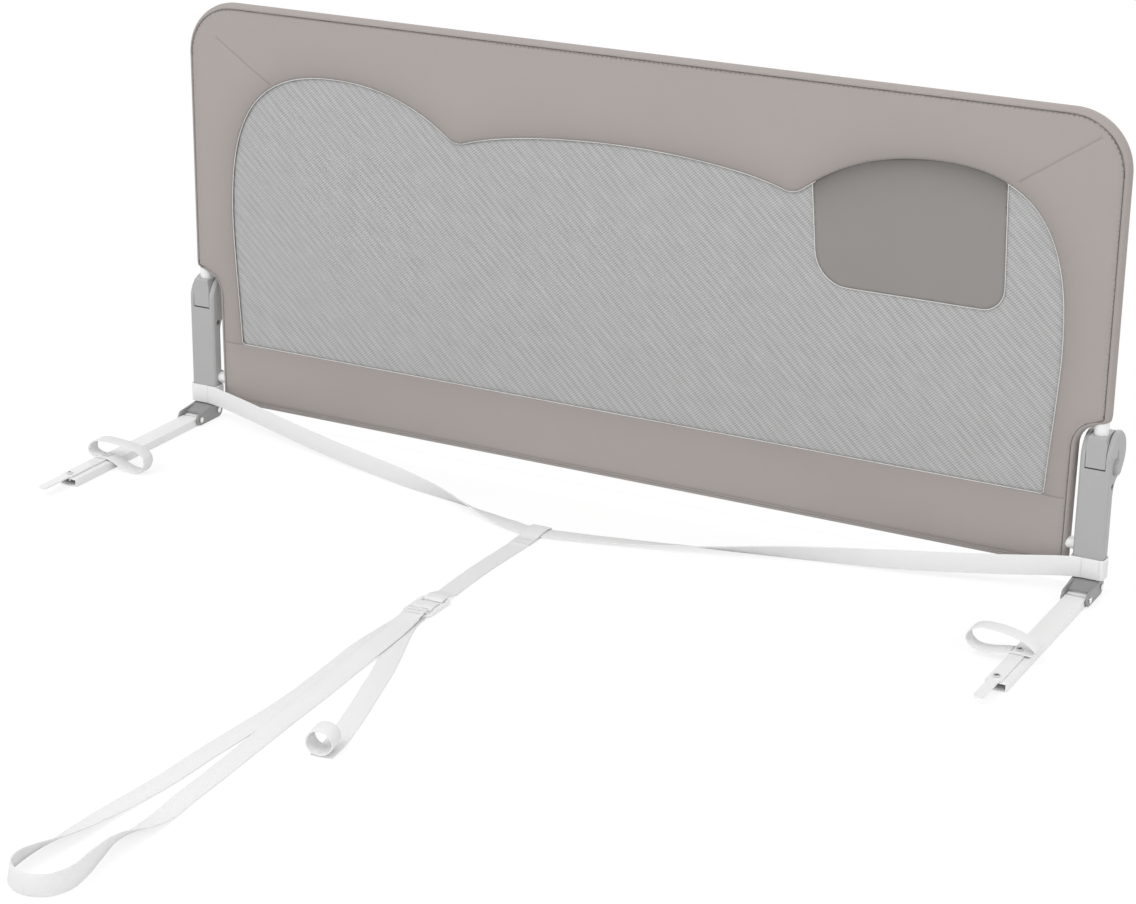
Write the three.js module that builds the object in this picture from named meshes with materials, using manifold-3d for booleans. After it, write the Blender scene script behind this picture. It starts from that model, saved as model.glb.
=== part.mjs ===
// Folding bed guard rail: a fabric panel on a bent tube frame, hinged on two posts,
// with flat arms and a webbing anchor that lie under the mattress.
// Millimetres, +Z up. X runs along the rail, -Y points into the bed, Z = 0 is the bed base.
// While the pieces are made, Y = 0 is the front face of the posts; the last lines move the
// whole rail so that its origin is the middle of its footprint.

import * as THREE from 'three';
import { mergeVertices } from 'three/addons/utils/BufferGeometryUtils.js';
import Module from 'manifold-3d';

const wasm = await Module();
wasm.setup();

// Driving sizes
const railLength = 1020;
const railHeight = 455;
const hingeHeight = 134;
const headRadius = 23;
const tubeRadius = 7;
const tubeWall = 1.2;
const tubeDepth = 12;
const strapWidth = 20;
const strapThickness = 1.2;
const fit = 0.3;
const overrun = 2;

// Posts
const postWidth = 30;
const postDepth = 14;
const postEdge = 2;
const postFoot = 16.8;
const blendDrop = 38;
const blendAngle = THREE.MathUtils.degToRad(-80);
const slotMargin = 2;
const coreWidth = 20;
const coreDepth = 9.6;
const coreDrop = 34;
const coreHeight = hingeHeight - coreDrop;
const corePost = 2.2;
const postCentre = railLength / 2 - postWidth / 2;
const postInner = railLength / 2 - postWidth;
const hingeDepth = headRadius;

// Knuckle, which turns in the head and carries the side tube
const knuckleWidth = 19.2;
const knuckleRadius = 22;
const padDrop = 8.8;
const padChamfer = 1.2;
const socketFloor = 12;
const socketRise = 21.5;
const socketNarrowing = 1.6;
const socketShoulder = 7;
const pinRadius = 3.5;
const pinCover = 2.2;

// Release button in the outer cheek
const buttonRadius = 7.3;
const buttonProud = 4;
const buttonTravel = 2.5;
const buttonRecess = 3.9;
const buttonShell = 1.3;
const buttonForward = 7.5;
const buttonDrop = 9.5;
const cheekSlotWidth = 1.4;
const cheekSlotDepth = 1.2;
const cheekSlotBack = 4.5;
const cheekSlotRise = [6, 15];
const springWire = 0.8;
const springRadius = 4.4;
const springTurns = 3.5;

// Post screw in the side of the casing
const screwDrop = 27;
const screwHeight = hingeHeight - screwDrop;
const screwDepth = 9;
const screwHeadRadius = 2.7;
const screwHeadHeight = 1.2;
const screwShankRadius = 1.5;
const screwLength = 20;
const crossWidth = 0.8;

// Foot bracket, a fork between post and arm
const bracketPlate = 2.4;
const bracketGap = 0.6;
const noseRadius = 6.5;
const noseReach = 26;
const heelRadius = 8;
const heelDepth = 7;
const topPlateReach = 18.5;
const topPlate = 2.2;
const rivetRadius = 1.8;
const rivetHeadRadius = 3;
const rivetHead = 1;

// Arms
const armWidth = 20;
const armHeight = 8.4;
const armWall = 1.2;
const armHeel = 8.6;
const heelOpening = 14;
const innerScrew = 175;
const outerScrew = 234;
const armTail = 7;
const armEnd = outerScrew + armTail;
const stripWidth = 13;
const stripThickness = 1.5;
const stripLead = 10;
const stripStart = innerScrew - stripLead;
const tongueWidth = 10;
const tongueLength = 40;
const stripEnd = armEnd + tongueLength;
const stripTip = 4;
const leftStripShift = -3.4;
const rightStripShift = -2;
const armScrewHeadRadius = 3;
const armScrewHead = 1.4;
const armScrewShankRadius = 1.5;
const armScrewLength = 8;

// Tie straps, narrow closed bands on the arms
const tieWidth = 12;

// Places of the tie straps round their loops, from the inner screw, across and up
const leftTieLoop = [
  [0, 0], [7, -0.1], [13.5, -1.6], [27, -7], [38, -9.4], [48.5, -8.2], [54.5, 0.5],
  [54, 8], [45, 14.5], [31.6, 16.8], [15.6, 18.2], [1, 18.3], [-9, 15.5], [-14.2, 9.5],
  [-14, 3.8], [-8, 0.3],
];
const rightTieLoop = [
  [0, 0], [-7, -0.1], [-15.1, -1.3], [-30.6, -3.7], [-41.2, -2.2], [-47.4, 4], [-46.3, 10.5],
  [-41.5, 15.3], [-35.4, 17.7], [-27.2, 18.3], [-16.7, 17.8], [-6.2, 16], [4.5, 12.5],
  [13.2, 7.3], [16.5, 3.4], [14, 0.3], [7, 0],
];

// Fabric cover, mesh and pocket
const coverWall = 1.2;
const coverInset = 5.5;
const coverGap = 7.2;
const coverCorner = 55;
const coverBottom = 20;
const coverHem = 6;
const roofGap = 4.5;
const meshThickness = 0.8;
const meshMargin = 8;
const pocketThickness = 1;
const splitGap = 0.3;
const windowBottom = 89;
const windowCrown = 64;
const windowTop = railHeight - windowCrown;
const windowSide = 55.2;
const windowHalf = railLength / 2 - windowSide;
const pocketWidth = 192;
const pocketHeight = 131.5;
const pocketSide = 58.8;
const pocketRight = windowHalf - pocketSide;
const pocketLeft = pocketRight - pocketWidth;
const pocketBottom = windowTop - pocketHeight;
const pocketCorner = 26;
const coverHalf = railLength / 2 - coverInset;
const coverHalfDepth = tubeRadius + fit + coverWall;
const coverFront = tubeDepth - coverHalfDepth;
const coverBack = tubeDepth + coverHalfDepth;

// Tubes
const topTubeHeight = railHeight - coverWall - fit - tubeRadius;
const tubeBend = 46;
const plugRun = 30;
const insertLength = 60;
const lowerTubeRadius = 6;
const lowerTubeHeight = 45.2;
const lowerTubeDepth = 11;
const bossRadius = 7.6;
const bossLength = 12;

// Webbing
const bandBottom = 16.8;
const buckleWidth = 30;
const buckleLength = 45;
const buckleThickness = 3;
const buckleCorner = 8;
const slotWidth = 22;
const slotLength = 10;
const slotOffset = 11;
const buckleX = -20;
const buckleY = -330;
const tailRingHalf = 17;
const tailRingHeight = 30;
const tailRingX = 60;
const tailRingY = -627;

// Counts of facets
const roundSides = 32;
const tubeSides = 16;
const smallSides = 16;
const bendSteps = 8;
const curveSteps = 8;
const cornerSteps = 2;
const edgeSteps = 1;
const ringSteps = 28;
const springSteps = 8;
const springSides = 5;
const strapSteps = 2;

const X = new THREE.Vector3(1, 0, 0);
const Y = new THREE.Vector3(0, 1, 0);
const Z = new THREE.Vector3(0, 0, 1);

const paint = (color, roughness, metalness = 0) =>
  new THREE.MeshStandardMaterial({ color, roughness, metalness });
const greyPlastic = paint('#b2b2b2', 0.5);
const darkPlastic = paint('#8f8f8f', 0.5);
const whiteSteel = paint('#e2e2e2', 0.4, 0.3);
const bareSteel = paint('#c4c4c4', 0.35, 0.9);
const fabric = paint('#aba59f', 0.9);
const mesh = paint('#b4b4b4', 0.85);
const pocketFabric = paint('#938f8b', 0.9);
const webbing = paint('#e8e8e8', 0.8);

const rail = new THREE.Group();
rail.name = 'bed_guard_rail';

// Solids

function solidFrom(geometry) {
  const bare = geometry.clone();
  bare.deleteAttribute('normal');
  bare.deleteAttribute('uv');
  const merged = mergeVertices(bare);
  const vertProperties = new Float32Array(merged.attributes.position.array);
  const triVerts = new Uint32Array(merged.index.array);
  return new wasm.Manifold(new wasm.Mesh({ numProp: 3, vertProperties, triVerts }));
}

function geometryFrom(solid) {
  const result = solid.getMesh();
  const geometry = new THREE.BufferGeometry();
  geometry.setAttribute('position', new THREE.BufferAttribute(result.vertProperties, 3));
  geometry.setIndex(new THREE.BufferAttribute(result.triVerts, 1));
  return geometry;
}

function addPiece(name, solid, material) {
  const geometry = geometryFrom(solid);
  geometry.computeVertexNormals();
  const piece = new THREE.Mesh(geometry, material);
  piece.name = name;
  rail.add(piece);
  return piece;
}

function box(x, y, z) {
  const geometry = new THREE.BoxGeometry(1, 1, 1);
  geometry.scale(x[1] - x[0], y[1] - y[0], z[1] - z[0]);
  geometry.translate((x[0] + x[1]) / 2, (y[0] + y[1]) / 2, (z[0] + z[1]) / 2);
  return solidFrom(geometry);
}

function rod(axis, radius, from, to, centre, sides = roundSides) {
  const geometry = new THREE.CylinderGeometry(radius, radius, to - from, sides);
  const turn = new THREE.Quaternion().setFromUnitVectors(Y, axis);
  geometry.applyQuaternion(turn);
  const middle = centre.clone().addScaledVector(axis, (from + to) / 2);
  geometry.translate(middle.x, middle.y, middle.z);
  return solidFrom(geometry);
}

function extrude(shape, depth, edge = 0, inset = 0, steps = curveSteps) {
  const geometry = new THREE.ExtrudeGeometry(shape, {
    depth: depth - 2 * edge,
    curveSegments: steps,
    bevelEnabled: edge > 0 || inset !== 0,
    bevelThickness: edge,
    bevelSize: edge > 0 ? edge : -inset,
    bevelOffset: -edge,
    bevelSegments: edge > 0 ? edgeSteps : 0,
  });
  geometry.translate(0, 0, edge);
  return geometry;
}

// Extrudes a Y-Z outline along X
function prismX(shape, x, edge = 0) {
  const geometry = extrude(shape, x[1] - x[0], edge);
  geometry.applyMatrix4(new THREE.Matrix4().makeBasis(Y, Z, X));
  geometry.translate(x[0], 0, 0);
  return solidFrom(geometry);
}

// Extrudes an X-Z outline along Y
function prismY(shape, y, edge = 0, inset = 0) {
  const geometry = extrude(shape, y[1] - y[0], edge, inset);
  geometry.applyMatrix4(new THREE.Matrix4().makeBasis(X, Z, Y.clone().negate()));
  geometry.translate(0, y[1], 0);
  return solidFrom(geometry);
}

// Extrudes an X-Y outline along Z
function prismZ(shape, z, edge = 0) {
  const geometry = extrude(shape, z[1] - z[0], edge, 0, cornerSteps);
  geometry.translate(0, 0, z[0]);
  return solidFrom(geometry);
}

function polygon(points) {
  return new THREE.Shape(points.map(([u, v]) => new THREE.Vector2(u, v)));
}

function roundedRectangle(u, v, radius) {
  const shape = new THREE.Shape();
  shape.absarc(u[1] - radius, v[0] + radius, radius, -Math.PI / 2, 0);
  shape.absarc(u[1] - radius, v[1] - radius, radius, 0, Math.PI / 2);
  shape.absarc(u[0] + radius, v[1] - radius, radius, Math.PI / 2, Math.PI);
  shape.absarc(u[0] + radius, v[0] + radius, radius, Math.PI, Math.PI * 1.5);
  return shape;
}

// A closed body through a row of stations, each with a place, the way along and the way across
function loft(stations, section, closed = false) {
  const positions = [];
  for (const { at, along, across } of stations) {
    const other = along.clone().cross(across);
    for (const [u, v] of section) {
      const point = at.clone().addScaledVector(across, u).addScaledVector(other, v);
      positions.push(point.x, point.y, point.z);
    }
  }
  const count = section.length;
  const faces = [];
  const last = closed ? stations.length : stations.length - 1;
  for (let i = 0; i < last; i += 1) {
    const near = i * count;
    const far = ((i + 1) % stations.length) * count;
    for (let j = 0; j < count; j += 1) {
      const next = (j + 1) % count;
      const [a, b, c, d] = [near + j, near + next, far + next, far + j];
      // Opposite sides share the way of their diagonals, so a twisted strap keeps its thickness
      faces.push(...(j < count / 2 ? [a, b, c, a, c, d] : [a, b, d, b, c, d]));
    }
  }
  if (!closed) {
    const end = (stations.length - 1) * count;
    for (let j = 1; j < count - 1; j += 1) {
      faces.push(0, j + 1, j, end, end + j, end + j + 1);
    }
  }
  const geometry = new THREE.BufferGeometry();
  geometry.setAttribute('position', new THREE.Float32BufferAttribute(positions, 3));
  geometry.setIndex(faces);
  return solidFrom(geometry);
}

function circleSection(radius, sides) {
  const angle = (2 * Math.PI) / sides;
  return Array.from({ length: sides }, (_, k) => [
    radius * Math.cos(k * angle),
    radius * Math.sin(k * angle),
  ]);
}

function strapSection(width) {
  const halfWidth = width / 2;
  const halfThickness = strapThickness / 2;
  return [
    [-halfWidth, -halfThickness],
    [halfWidth, -halfThickness],
    [halfWidth, halfThickness],
    [-halfWidth, halfThickness],
  ];
}

// Posts

function casingOutline() {
  const shape = new THREE.Shape();
  shape.moveTo(0, postFoot);
  shape.lineTo(postDepth, postFoot);
  shape.lineTo(postDepth, hingeHeight - blendDrop);
  shape.quadraticCurveTo(
    postDepth + fit,
    hingeHeight - headRadius - fit,
    hingeDepth + headRadius * Math.cos(blendAngle),
    hingeHeight + headRadius * Math.sin(blendAngle),
  );
  shape.absarc(hingeDepth, hingeHeight, headRadius, blendAngle, Math.PI);
  return shape;
}

// The room in which the knuckle turns: a round slot, open to the front, the top and the back
function headSlot(centreX) {
  const half = knuckleWidth / 2 + fit;
  const x = [centreX - half, centreX + half];
  const far = hingeDepth + headRadius + overrun;
  const axis = new THREE.Vector3(centreX, hingeDepth, hingeHeight);
  const round = rod(X, headRadius + slotMargin, -half, half, axis);
  const above = box(x, [-overrun, far], [hingeHeight, hingeHeight + headRadius + overrun]);
  const behind = box(x, [hingeDepth + slotMargin, far], [hingeHeight - blendDrop - overrun, hingeHeight]);
  return round.add(above).add(behind);
}

function crossRecess(axis, centre, reach, depth) {
  const cut = [];
  for (const turn of [0, Math.PI / 2]) {
    const geometry = new THREE.BoxGeometry(2 * reach, 2 * depth, crossWidth);
    geometry.rotateY(turn);
    geometry.applyQuaternion(new THREE.Quaternion().setFromUnitVectors(Y, axis));
    geometry.translate(centre.x, centre.y, centre.z);
    cut.push(solidFrom(geometry));
  }
  return cut[0].add(cut[1]);
}

function buttonCentre(centreX) {
  return new THREE.Vector3(centreX, hingeDepth - buttonForward, hingeHeight - buttonDrop);
}

function postCasing(side, centreX) {
  const half = postWidth / 2;
  let casing = prismX(casingOutline(), [centreX - half, centreX + half], postEdge);
  const tubeAxis = new THREE.Vector3(centreX, lowerTubeDepth, lowerTubeHeight);
  const bossEnds = side > 0 ? [-half, bossLength - half] : [half - bossLength, half];
  casing = casing.add(rod(X, bossRadius, ...bossEnds, tubeAxis));
  casing = casing.subtract(headSlot(centreX));
  const coreHalf = coreWidth / 2 + fit;
  casing = casing.subtract(box(
    [centreX - coreHalf, centreX + coreHalf],
    [corePost - fit, corePost + coreDepth + fit],
    [postFoot - overrun, coreHeight + fit],
  ));
  const tubeEnds = side > 0 ? [-half - overrun, -coreHalf] : [coreHalf, half + overrun];
  casing = casing.subtract(rod(X, lowerTubeRadius + fit, ...tubeEnds, tubeAxis));
  const hinge = new THREE.Vector3(centreX, hingeDepth, hingeHeight);
  casing = casing.subtract(rod(X, pinRadius + fit, pinCover - half, half - pinCover, hinge));
  const recess = side > 0 ? [half - buttonRecess, half + overrun] : [-half - overrun, buttonRecess - half];
  casing = casing.subtract(rod(X, buttonRadius + fit, ...recess, buttonCentre(centreX)));
  const button = buttonCentre(centreX);
  const slotBack = button.y + cheekSlotBack;
  const slotEnds = [centreX + side * (half - cheekSlotDepth), centreX + side * (half + overrun)];
  casing = casing.subtract(box(
    side > 0 ? slotEnds : slotEnds.reverse(),
    [slotBack - cheekSlotWidth / 2, slotBack + cheekSlotWidth / 2],
    cheekSlotRise.map((rise) => button.z + rise),
  ));
  const screw = new THREE.Vector3(centreX, screwDepth, screwHeight);
  const headSeat = half - screwHeadHeight - 2 * fit;
  casing = casing.subtract(rod(X, screwHeadRadius + fit, headSeat, half + overrun, screw, smallSides));
  const shank = rod(X, screwShankRadius + fit, half - screwLength - fit, half, screw, smallSides);
  return casing.subtract(shank);
}

function postCore(centreX) {
  const half = coreWidth / 2;
  const core = box([centreX - half, centreX + half], [corePost, corePost + coreDepth], [0, coreHeight]);
  const hole = new THREE.Vector3(centreX, heelDepth, heelRadius + fit);
  return core.subtract(rod(X, rivetRadius + fit, -postWidth, postWidth, hole, smallSides));
}

function postScrew(centreX) {
  const half = postWidth / 2;
  const centre = new THREE.Vector3(centreX, screwDepth, screwHeight);
  const top = half - fit;
  const under = top - screwHeadHeight;
  const head = rod(X, screwHeadRadius, under, top, centre, smallSides);
  const shank = rod(X, screwShankRadius, half - screwLength, top - screwHeadHeight / 2, centre, smallSides);
  const face = centre.clone().addScaledVector(X, top);
  const cut = crossRecess(X, face, screwHeadRadius - crossWidth, screwHeadHeight / 2);
  return head.add(shank).subtract(cut);
}

function hingePin(centreX) {
  const reach = postWidth / 2 - pinCover - fit;
  return rod(X, pinRadius, -reach, reach, new THREE.Vector3(centreX, hingeDepth, hingeHeight));
}

function strapBand(centreX) {
  const inner = fit;
  const outer = fit + strapThickness;
  const half = postWidth / 2;
  const rectangle = (grow) => roundedRectangle(
    [centreX - half - grow, centreX + half + grow],
    [-grow, postDepth + grow],
    postEdge + grow,
  );
  const z = [bandBottom, bandBottom + strapWidth];
  const hollow = prismZ(rectangle(inner), [z[0] - overrun, z[1] + overrun]);
  return prismZ(rectangle(outer), z).subtract(hollow);
}

// Knuckle: a disc with a flat pad in front, which rises to the socket of the side tube

function hingeKnuckle(centreX) {
  const half = knuckleWidth / 2;
  const axis = new THREE.Vector3(centreX, hingeDepth, hingeHeight);
  const socketTop = hingeHeight + socketRise;
  const padFront = fit;
  const pad = prismX(polygon([
    [padFront, hingeHeight - padDrop],
    [hingeDepth, hingeHeight - padDrop],
    [hingeDepth, socketTop],
    [padFront + padChamfer, socketTop],
    [padFront, socketTop - padChamfer],
  ]), [centreX - half, centreX + half]);
  const disc = rod(X, knuckleRadius, -half, half, axis, roundSides);
  const front = prismY(polygon([
    [centreX - half, hingeHeight - headRadius - overrun],
    [centreX + half, hingeHeight - headRadius - overrun],
    [centreX + half, socketTop - socketShoulder],
    [centreX + half - socketNarrowing, socketTop],
    [centreX - half + socketNarrowing, socketTop],
    [centreX - half, socketTop - socketShoulder],
  ]), [-overrun, hingeDepth + headRadius + overrun]);
  const tubeAxis = new THREE.Vector3(centreX, tubeDepth, 0);
  const socketBottom = hingeHeight + socketFloor;
  const socket = rod(Z, tubeRadius + fit, socketBottom, socketTop + overrun, tubeAxis, tubeSides);
  const bore = rod(X, pinRadius + fit, -half - overrun, half + overrun, axis);
  return disc.add(pad).intersect(front).subtract(socket).subtract(bore);
}

// Release button: a hollow cap that slides in its recess, over a coil spring

function turned(profile, side, centre) {
  const geometry = new THREE.LatheGeometry(profile.map(([r, h]) => new THREE.Vector2(r, h)), roundSides);
  const axis = X.clone().multiplyScalar(side);
  geometry.applyQuaternion(new THREE.Quaternion().setFromUnitVectors(Y, axis));
  geometry.translate(centre.x, centre.y, centre.z);
  return solidFrom(geometry);
}

function releaseButton(side, centreX) {
  const half = postWidth / 2;
  const top = half + buttonProud;
  const skirt = half - buttonRecess + fit + buttonTravel;
  const inner = buttonRadius - buttonShell;
  const round = buttonShell;
  const profile = [
    [0, top - buttonShell],
    [inner, top - buttonShell],
    [inner, skirt],
    [buttonRadius, skirt],
    [buttonRadius, top - round],
    [buttonRadius - round * (1 - Math.SQRT1_2), top - round * (1 - Math.SQRT1_2)],
    [buttonRadius - round, top],
    [0, top],
  ];
  return turned(profile, side, buttonCentre(centreX));
}

function buttonSpring(side, centreX) {
  const half = postWidth / 2;
  const start = half - buttonRecess + fit + springWire / 2;
  const end = half + buttonProud - buttonShell - fit - springWire / 2;
  const steps = springTurns * springSteps;
  const centre = buttonCentre(centreX);
  const rise = (end - start) / (springTurns * 2 * Math.PI);
  const stations = [];
  for (let k = 0; k <= steps; k += 1) {
    const angle = (k / steps) * springTurns * 2 * Math.PI;
    const across = new THREE.Vector3(0, Math.cos(angle), Math.sin(angle));
    const round = new THREE.Vector3(0, -Math.sin(angle), Math.cos(angle));
    const along = round.multiplyScalar(springRadius).addScaledVector(X, side * rise).normalize();
    const at = centre.clone().addScaledVector(across, springRadius);
    at.x += side * (start + (end - start) * (k / steps));
    stations.push({ at, along, across });
  }
  return loft(stations, circleSection(springWire / 2, springSides));
}

// Foot bracket: two link plates and the plate between them, which slopes down to the arm

function linkOutline(noseY, noseZ, nose, heelZ, heel) {
  const span = new THREE.Vector2(heelDepth - noseY, heelZ - noseZ);
  const tilt = span.angle();
  const lean = Math.acos((nose - heel) / span.length());
  const shape = new THREE.Shape();
  shape.absarc(heelDepth, heelZ, heel, tilt - lean, tilt + lean);
  shape.absarc(noseY, noseZ, nose, tilt + lean, tilt - lean + 2 * Math.PI);
  return shape;
}

function footBracket(centreX) {
  const inner = coreWidth / 2 + bracketGap;
  const outer = inner + bracketPlate;
  const noseZ = noseRadius + fit;
  const heelZ = heelRadius + fit;
  const full = linkOutline(-noseReach, noseZ, noseRadius, heelZ, heelRadius);
  const left = prismX(full, [centreX - outer, centreX - inner]);
  const right = prismX(full, [centreX + inner, centreX + outer]);
  const lip = armHeight + bracketGap;
  const back = corePost - fit;
  const crest = heelZ + heelRadius;
  const roof = prismX(polygon([
    [-topPlateReach, lip],
    [-topPlateReach, lip + topPlate],
    [back, crest],
    [back, crest - topPlate],
  ]), [centreX - outer, centreX + outer]).intersect(prismX(full, [centreX - outer, centreX + outer]));
  let bracket = left.add(right).add(roof);
  for (const [y, z] of [[heelDepth, heelZ], [-noseReach, noseZ]]) {
    const hole = new THREE.Vector3(centreX, y, z);
    bracket = bracket.subtract(rod(X, rivetRadius + fit, -postWidth, postWidth, hole, smallSides));
  }
  return bracket;
}

function rivet(centreX, y, z) {
  const under = coreWidth / 2 + bracketGap + bracketPlate + fit;
  const middle = under + rivetHead / 2;
  const top = under + rivetHead;
  const centre = new THREE.Vector3(centreX, y, z);
  const shank = rod(X, rivetRadius, -middle, middle, centre, smallSides);
  const rightHead = rod(X, rivetHeadRadius, under, top, centre, smallSides);
  const leftHead = rod(X, rivetHeadRadius, -top, -under, centre, smallSides);
  return shank.add(rightHead).add(leftHead);
}

// Arms: a flat box tube, its heel rounded about the arm pin and open below

function screwHole(x, y, from, to) {
  return rod(Z, armScrewShankRadius + fit, from, to, new THREE.Vector3(x, y, 0), smallSides);
}

function arm(centreX, screwX) {
  const half = armWidth / 2;
  const x = [centreX - half, centreX + half];
  const pin = new THREE.Vector3(centreX, -noseReach, noseRadius + fit);
  let body = box(x, [-armEnd, -noseReach], [0, armHeight]);
  const heelRoom = box(x, [-noseReach - overrun, armHeel], [0, armHeight]);
  const heel = rod(X, armHeel, -half, half, pin).intersect(heelRoom);
  body = body.add(heel);
  const inside = [x[0] + armWall, x[1] - armWall];
  body = body.subtract(box(inside, [-armEnd - overrun, armHeel], [armWall, armHeight - armWall]));
  body = body.subtract(box(inside, [-noseReach - heelOpening, armHeel], [-overrun, 2 * armWall]));
  body = body.subtract(rod(X, rivetRadius + fit, -half - overrun, half + overrun, pin, smallSides));
  for (const y of [-innerScrew, -outerScrew]) {
    body = body.subtract(screwHole(screwX, y, armHeight / 2, armHeight + overrun));
  }
  return body;
}

function armStrip(screwX) {
  const half = stripWidth / 2;
  const tongue = tongueWidth / 2;
  const shoulder = -armEnd + half - tongue;
  const z = [armHeight + fit, armHeight + fit + stripThickness];
  let strip = prismZ(polygon([
    [screwX - half, -stripStart],
    [screwX - half, shoulder],
    [screwX - tongue, -armEnd],
    [screwX - tongue, -stripEnd + stripTip],
    [screwX - tongue + stripTip / 2, -stripEnd],
    [screwX + tongue - stripTip / 2, -stripEnd],
    [screwX + tongue, -stripEnd + stripTip],
    [screwX + tongue, -armEnd],
    [screwX + half, shoulder],
    [screwX + half, -stripStart],
  ]), z);
  for (const y of [-innerScrew, -outerScrew]) {
    strip = strip.subtract(screwHole(screwX, y, z[0] - overrun, z[1] + overrun));
  }
  return strip;
}

const stripTop = armHeight + fit + stripThickness;
const tieBottom = stripTop + fit + strapThickness / 2;
const tieSeat = tieBottom + strapThickness / 2 + fit;

function armScrew(screwX, y, seat) {
  const place = new THREE.Vector3(screwX, y, 0);
  const head = rod(Z, armScrewHeadRadius, seat, seat + armScrewHead, place, smallSides);
  const tip = seat - armScrewLength;
  const shank = rod(Z, armScrewShankRadius, tip, seat + armScrewHead / 2, place, smallSides);
  const face = new THREE.Vector3(screwX, y, seat + armScrewHead);
  const cut = crossRecess(Z, face, armScrewHeadRadius - crossWidth, armScrewHead / 2);
  return head.add(shank).subtract(cut);
}

function tieStrap(screwX, loop) {
  const places = loop.map(([x, z]) => new THREE.Vector3(screwX + x, -innerScrew, tieBottom + z));
  const curve = new THREE.CatmullRomCurve3(places, true);
  const count = loop.length * strapSteps;
  const stations = [];
  for (let k = 0; k < count; k += 1) {
    stations.push({ at: curve.getPoint(k / count), along: curve.getTangent(k / count), across: Y });
  }
  const band = loft(stations, strapSection(tieWidth), true);
  return band.subtract(screwHole(screwX, -innerScrew, stripTop, tieSeat));
}

// Panel frame: a straight top tube and two bent side tubes, plugged together

function tubeAlong(stations, radius, wall) {
  const outer = loft(stations, circleSection(radius, tubeSides));
  const ends = stations.map((station) => ({ ...station, at: station.at.clone() }));
  ends[0].at.addScaledVector(ends[0].along, -overrun);
  ends[ends.length - 1].at.addScaledVector(ends[ends.length - 1].along, overrun);
  return outer.subtract(loft(ends, circleSection(radius - wall, tubeSides)));
}

function straightTube(from, to, radius, wall) {
  const along = to.clone().sub(from).normalize();
  const stations = [from, to].map((at) => ({ at, along, across: Z }));
  return tubeAlong(stations, radius, wall);
}

const plugX = postCentre - tubeBend - plugRun;

function sideTube(side) {
  const centreX = side * (postCentre - tubeBend);
  const centreZ = topTubeHeight - tubeBend;
  const up = Z.clone();
  const out = new THREE.Vector3(side, 0, 0);
  const foot = new THREE.Vector3(side * postCentre, tubeDepth, hingeHeight + socketFloor + fit);
  const stations = [{ at: foot, along: up, across: out }];
  for (let k = 0; k <= bendSteps; k += 1) {
    const angle = (k / bendSteps) * (Math.PI / 2);
    const across = new THREE.Vector3(side * Math.cos(angle), 0, Math.sin(angle));
    const along = new THREE.Vector3(-side * Math.sin(angle), 0, Math.cos(angle));
    const at = new THREE.Vector3(centreX, tubeDepth, centreZ).addScaledVector(across, tubeBend);
    stations.push({ at, along, across });
  }
  const last = stations[stations.length - 1];
  stations.push({ ...last, at: new THREE.Vector3(side * plugX, tubeDepth, topTubeHeight) });
  return tubeAlong(stations, tubeRadius, tubeWall);
}

function tubeInsert(side) {
  const radius = tubeRadius - tubeWall - fit;
  const half = insertLength / 2;
  const centre = new THREE.Vector3(side * plugX, tubeDepth, topTubeHeight);
  return rod(X, radius, -half, half, centre, tubeSides);
}

function spanTube(reach, y, z, radius) {
  return straightTube(new THREE.Vector3(-reach, y, z), new THREE.Vector3(reach, y, z), radius, tubeWall);
}

// Fabric: one sewn cover, made whole and parted at the fold line

const notchEdge = postInner - coverGap;
const roofRise = headRadius + roofGap;

// The side of the cover as shares of the way out from the notch and of the rise over the hinge
const sideShares = {
  start: [0.034, 0.327],
  roof: [[0.03, 0.8], [0.1, 1], [0.505, 1]],
  lip: [[0.7, 1.058], [0.85, 1.262]],
  edge: [[0.96, 1.465], [1, 2.036]],
};

function coverSide(shape, side) {
  const place = ([u, v]) => [
    side * (notchEdge + u * (coverHalf - notchEdge)),
    hingeHeight + v * roofRise,
  ];
  if (side > 0) {
    shape.lineTo(...place(sideShares.start));
    shape.bezierCurveTo(...sideShares.roof.flatMap(place));
    shape.quadraticCurveTo(...sideShares.lip.flatMap(place));
    shape.quadraticCurveTo(...sideShares.edge.flatMap(place));
    return;
  }
  shape.lineTo(...place(sideShares.edge[1]));
  shape.quadraticCurveTo(...[sideShares.edge[0], sideShares.lip[1]].flatMap(place));
  shape.quadraticCurveTo(...[sideShares.lip[0], sideShares.roof[2]].flatMap(place));
  shape.bezierCurveTo(...[sideShares.roof[1], sideShares.roof[0], sideShares.start].flatMap(place));
}

function coverOutline() {
  const shape = new THREE.Shape();
  const hemX = notchEdge - coverHem;
  const cornerX = coverHalf - coverCorner;
  const cornerZ = railHeight - coverCorner;
  shape.absarc(hemX, coverBottom + coverHem, coverHem, -Math.PI / 2, 0);
  coverSide(shape, 1);
  shape.absarc(cornerX, cornerZ, coverCorner, 0, Math.PI / 2);
  shape.absarc(-cornerX, cornerZ, coverCorner, Math.PI / 2, Math.PI);
  coverSide(shape, -1);
  shape.absarc(-hemX, coverBottom + coverHem, coverHem, Math.PI, Math.PI * 1.5);
  return shape;
}

// Half of the window as shares of its half width and of its height, from the lower corner
// up the side, round the lobe to its crown, down to the cusp and on to the middle
const windowShares = [
  [[0.983, 0]],
  [[0.987, 0.136], [0.997, 0.3], [1, 0.434]],
  [[1.003, 0.748], [0.967, 1], [0.719, 1]],
  [[0.594, 1], [0.505, 0.928], [0.425, 0.841]],
  [[0.414, 0.829], [0.394, 0.823], [0.381, 0.827]],
  [[0.31, 0.85], [0.132, 0.892], [0, 0.892]],
];
const crownCurves = 3;

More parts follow.
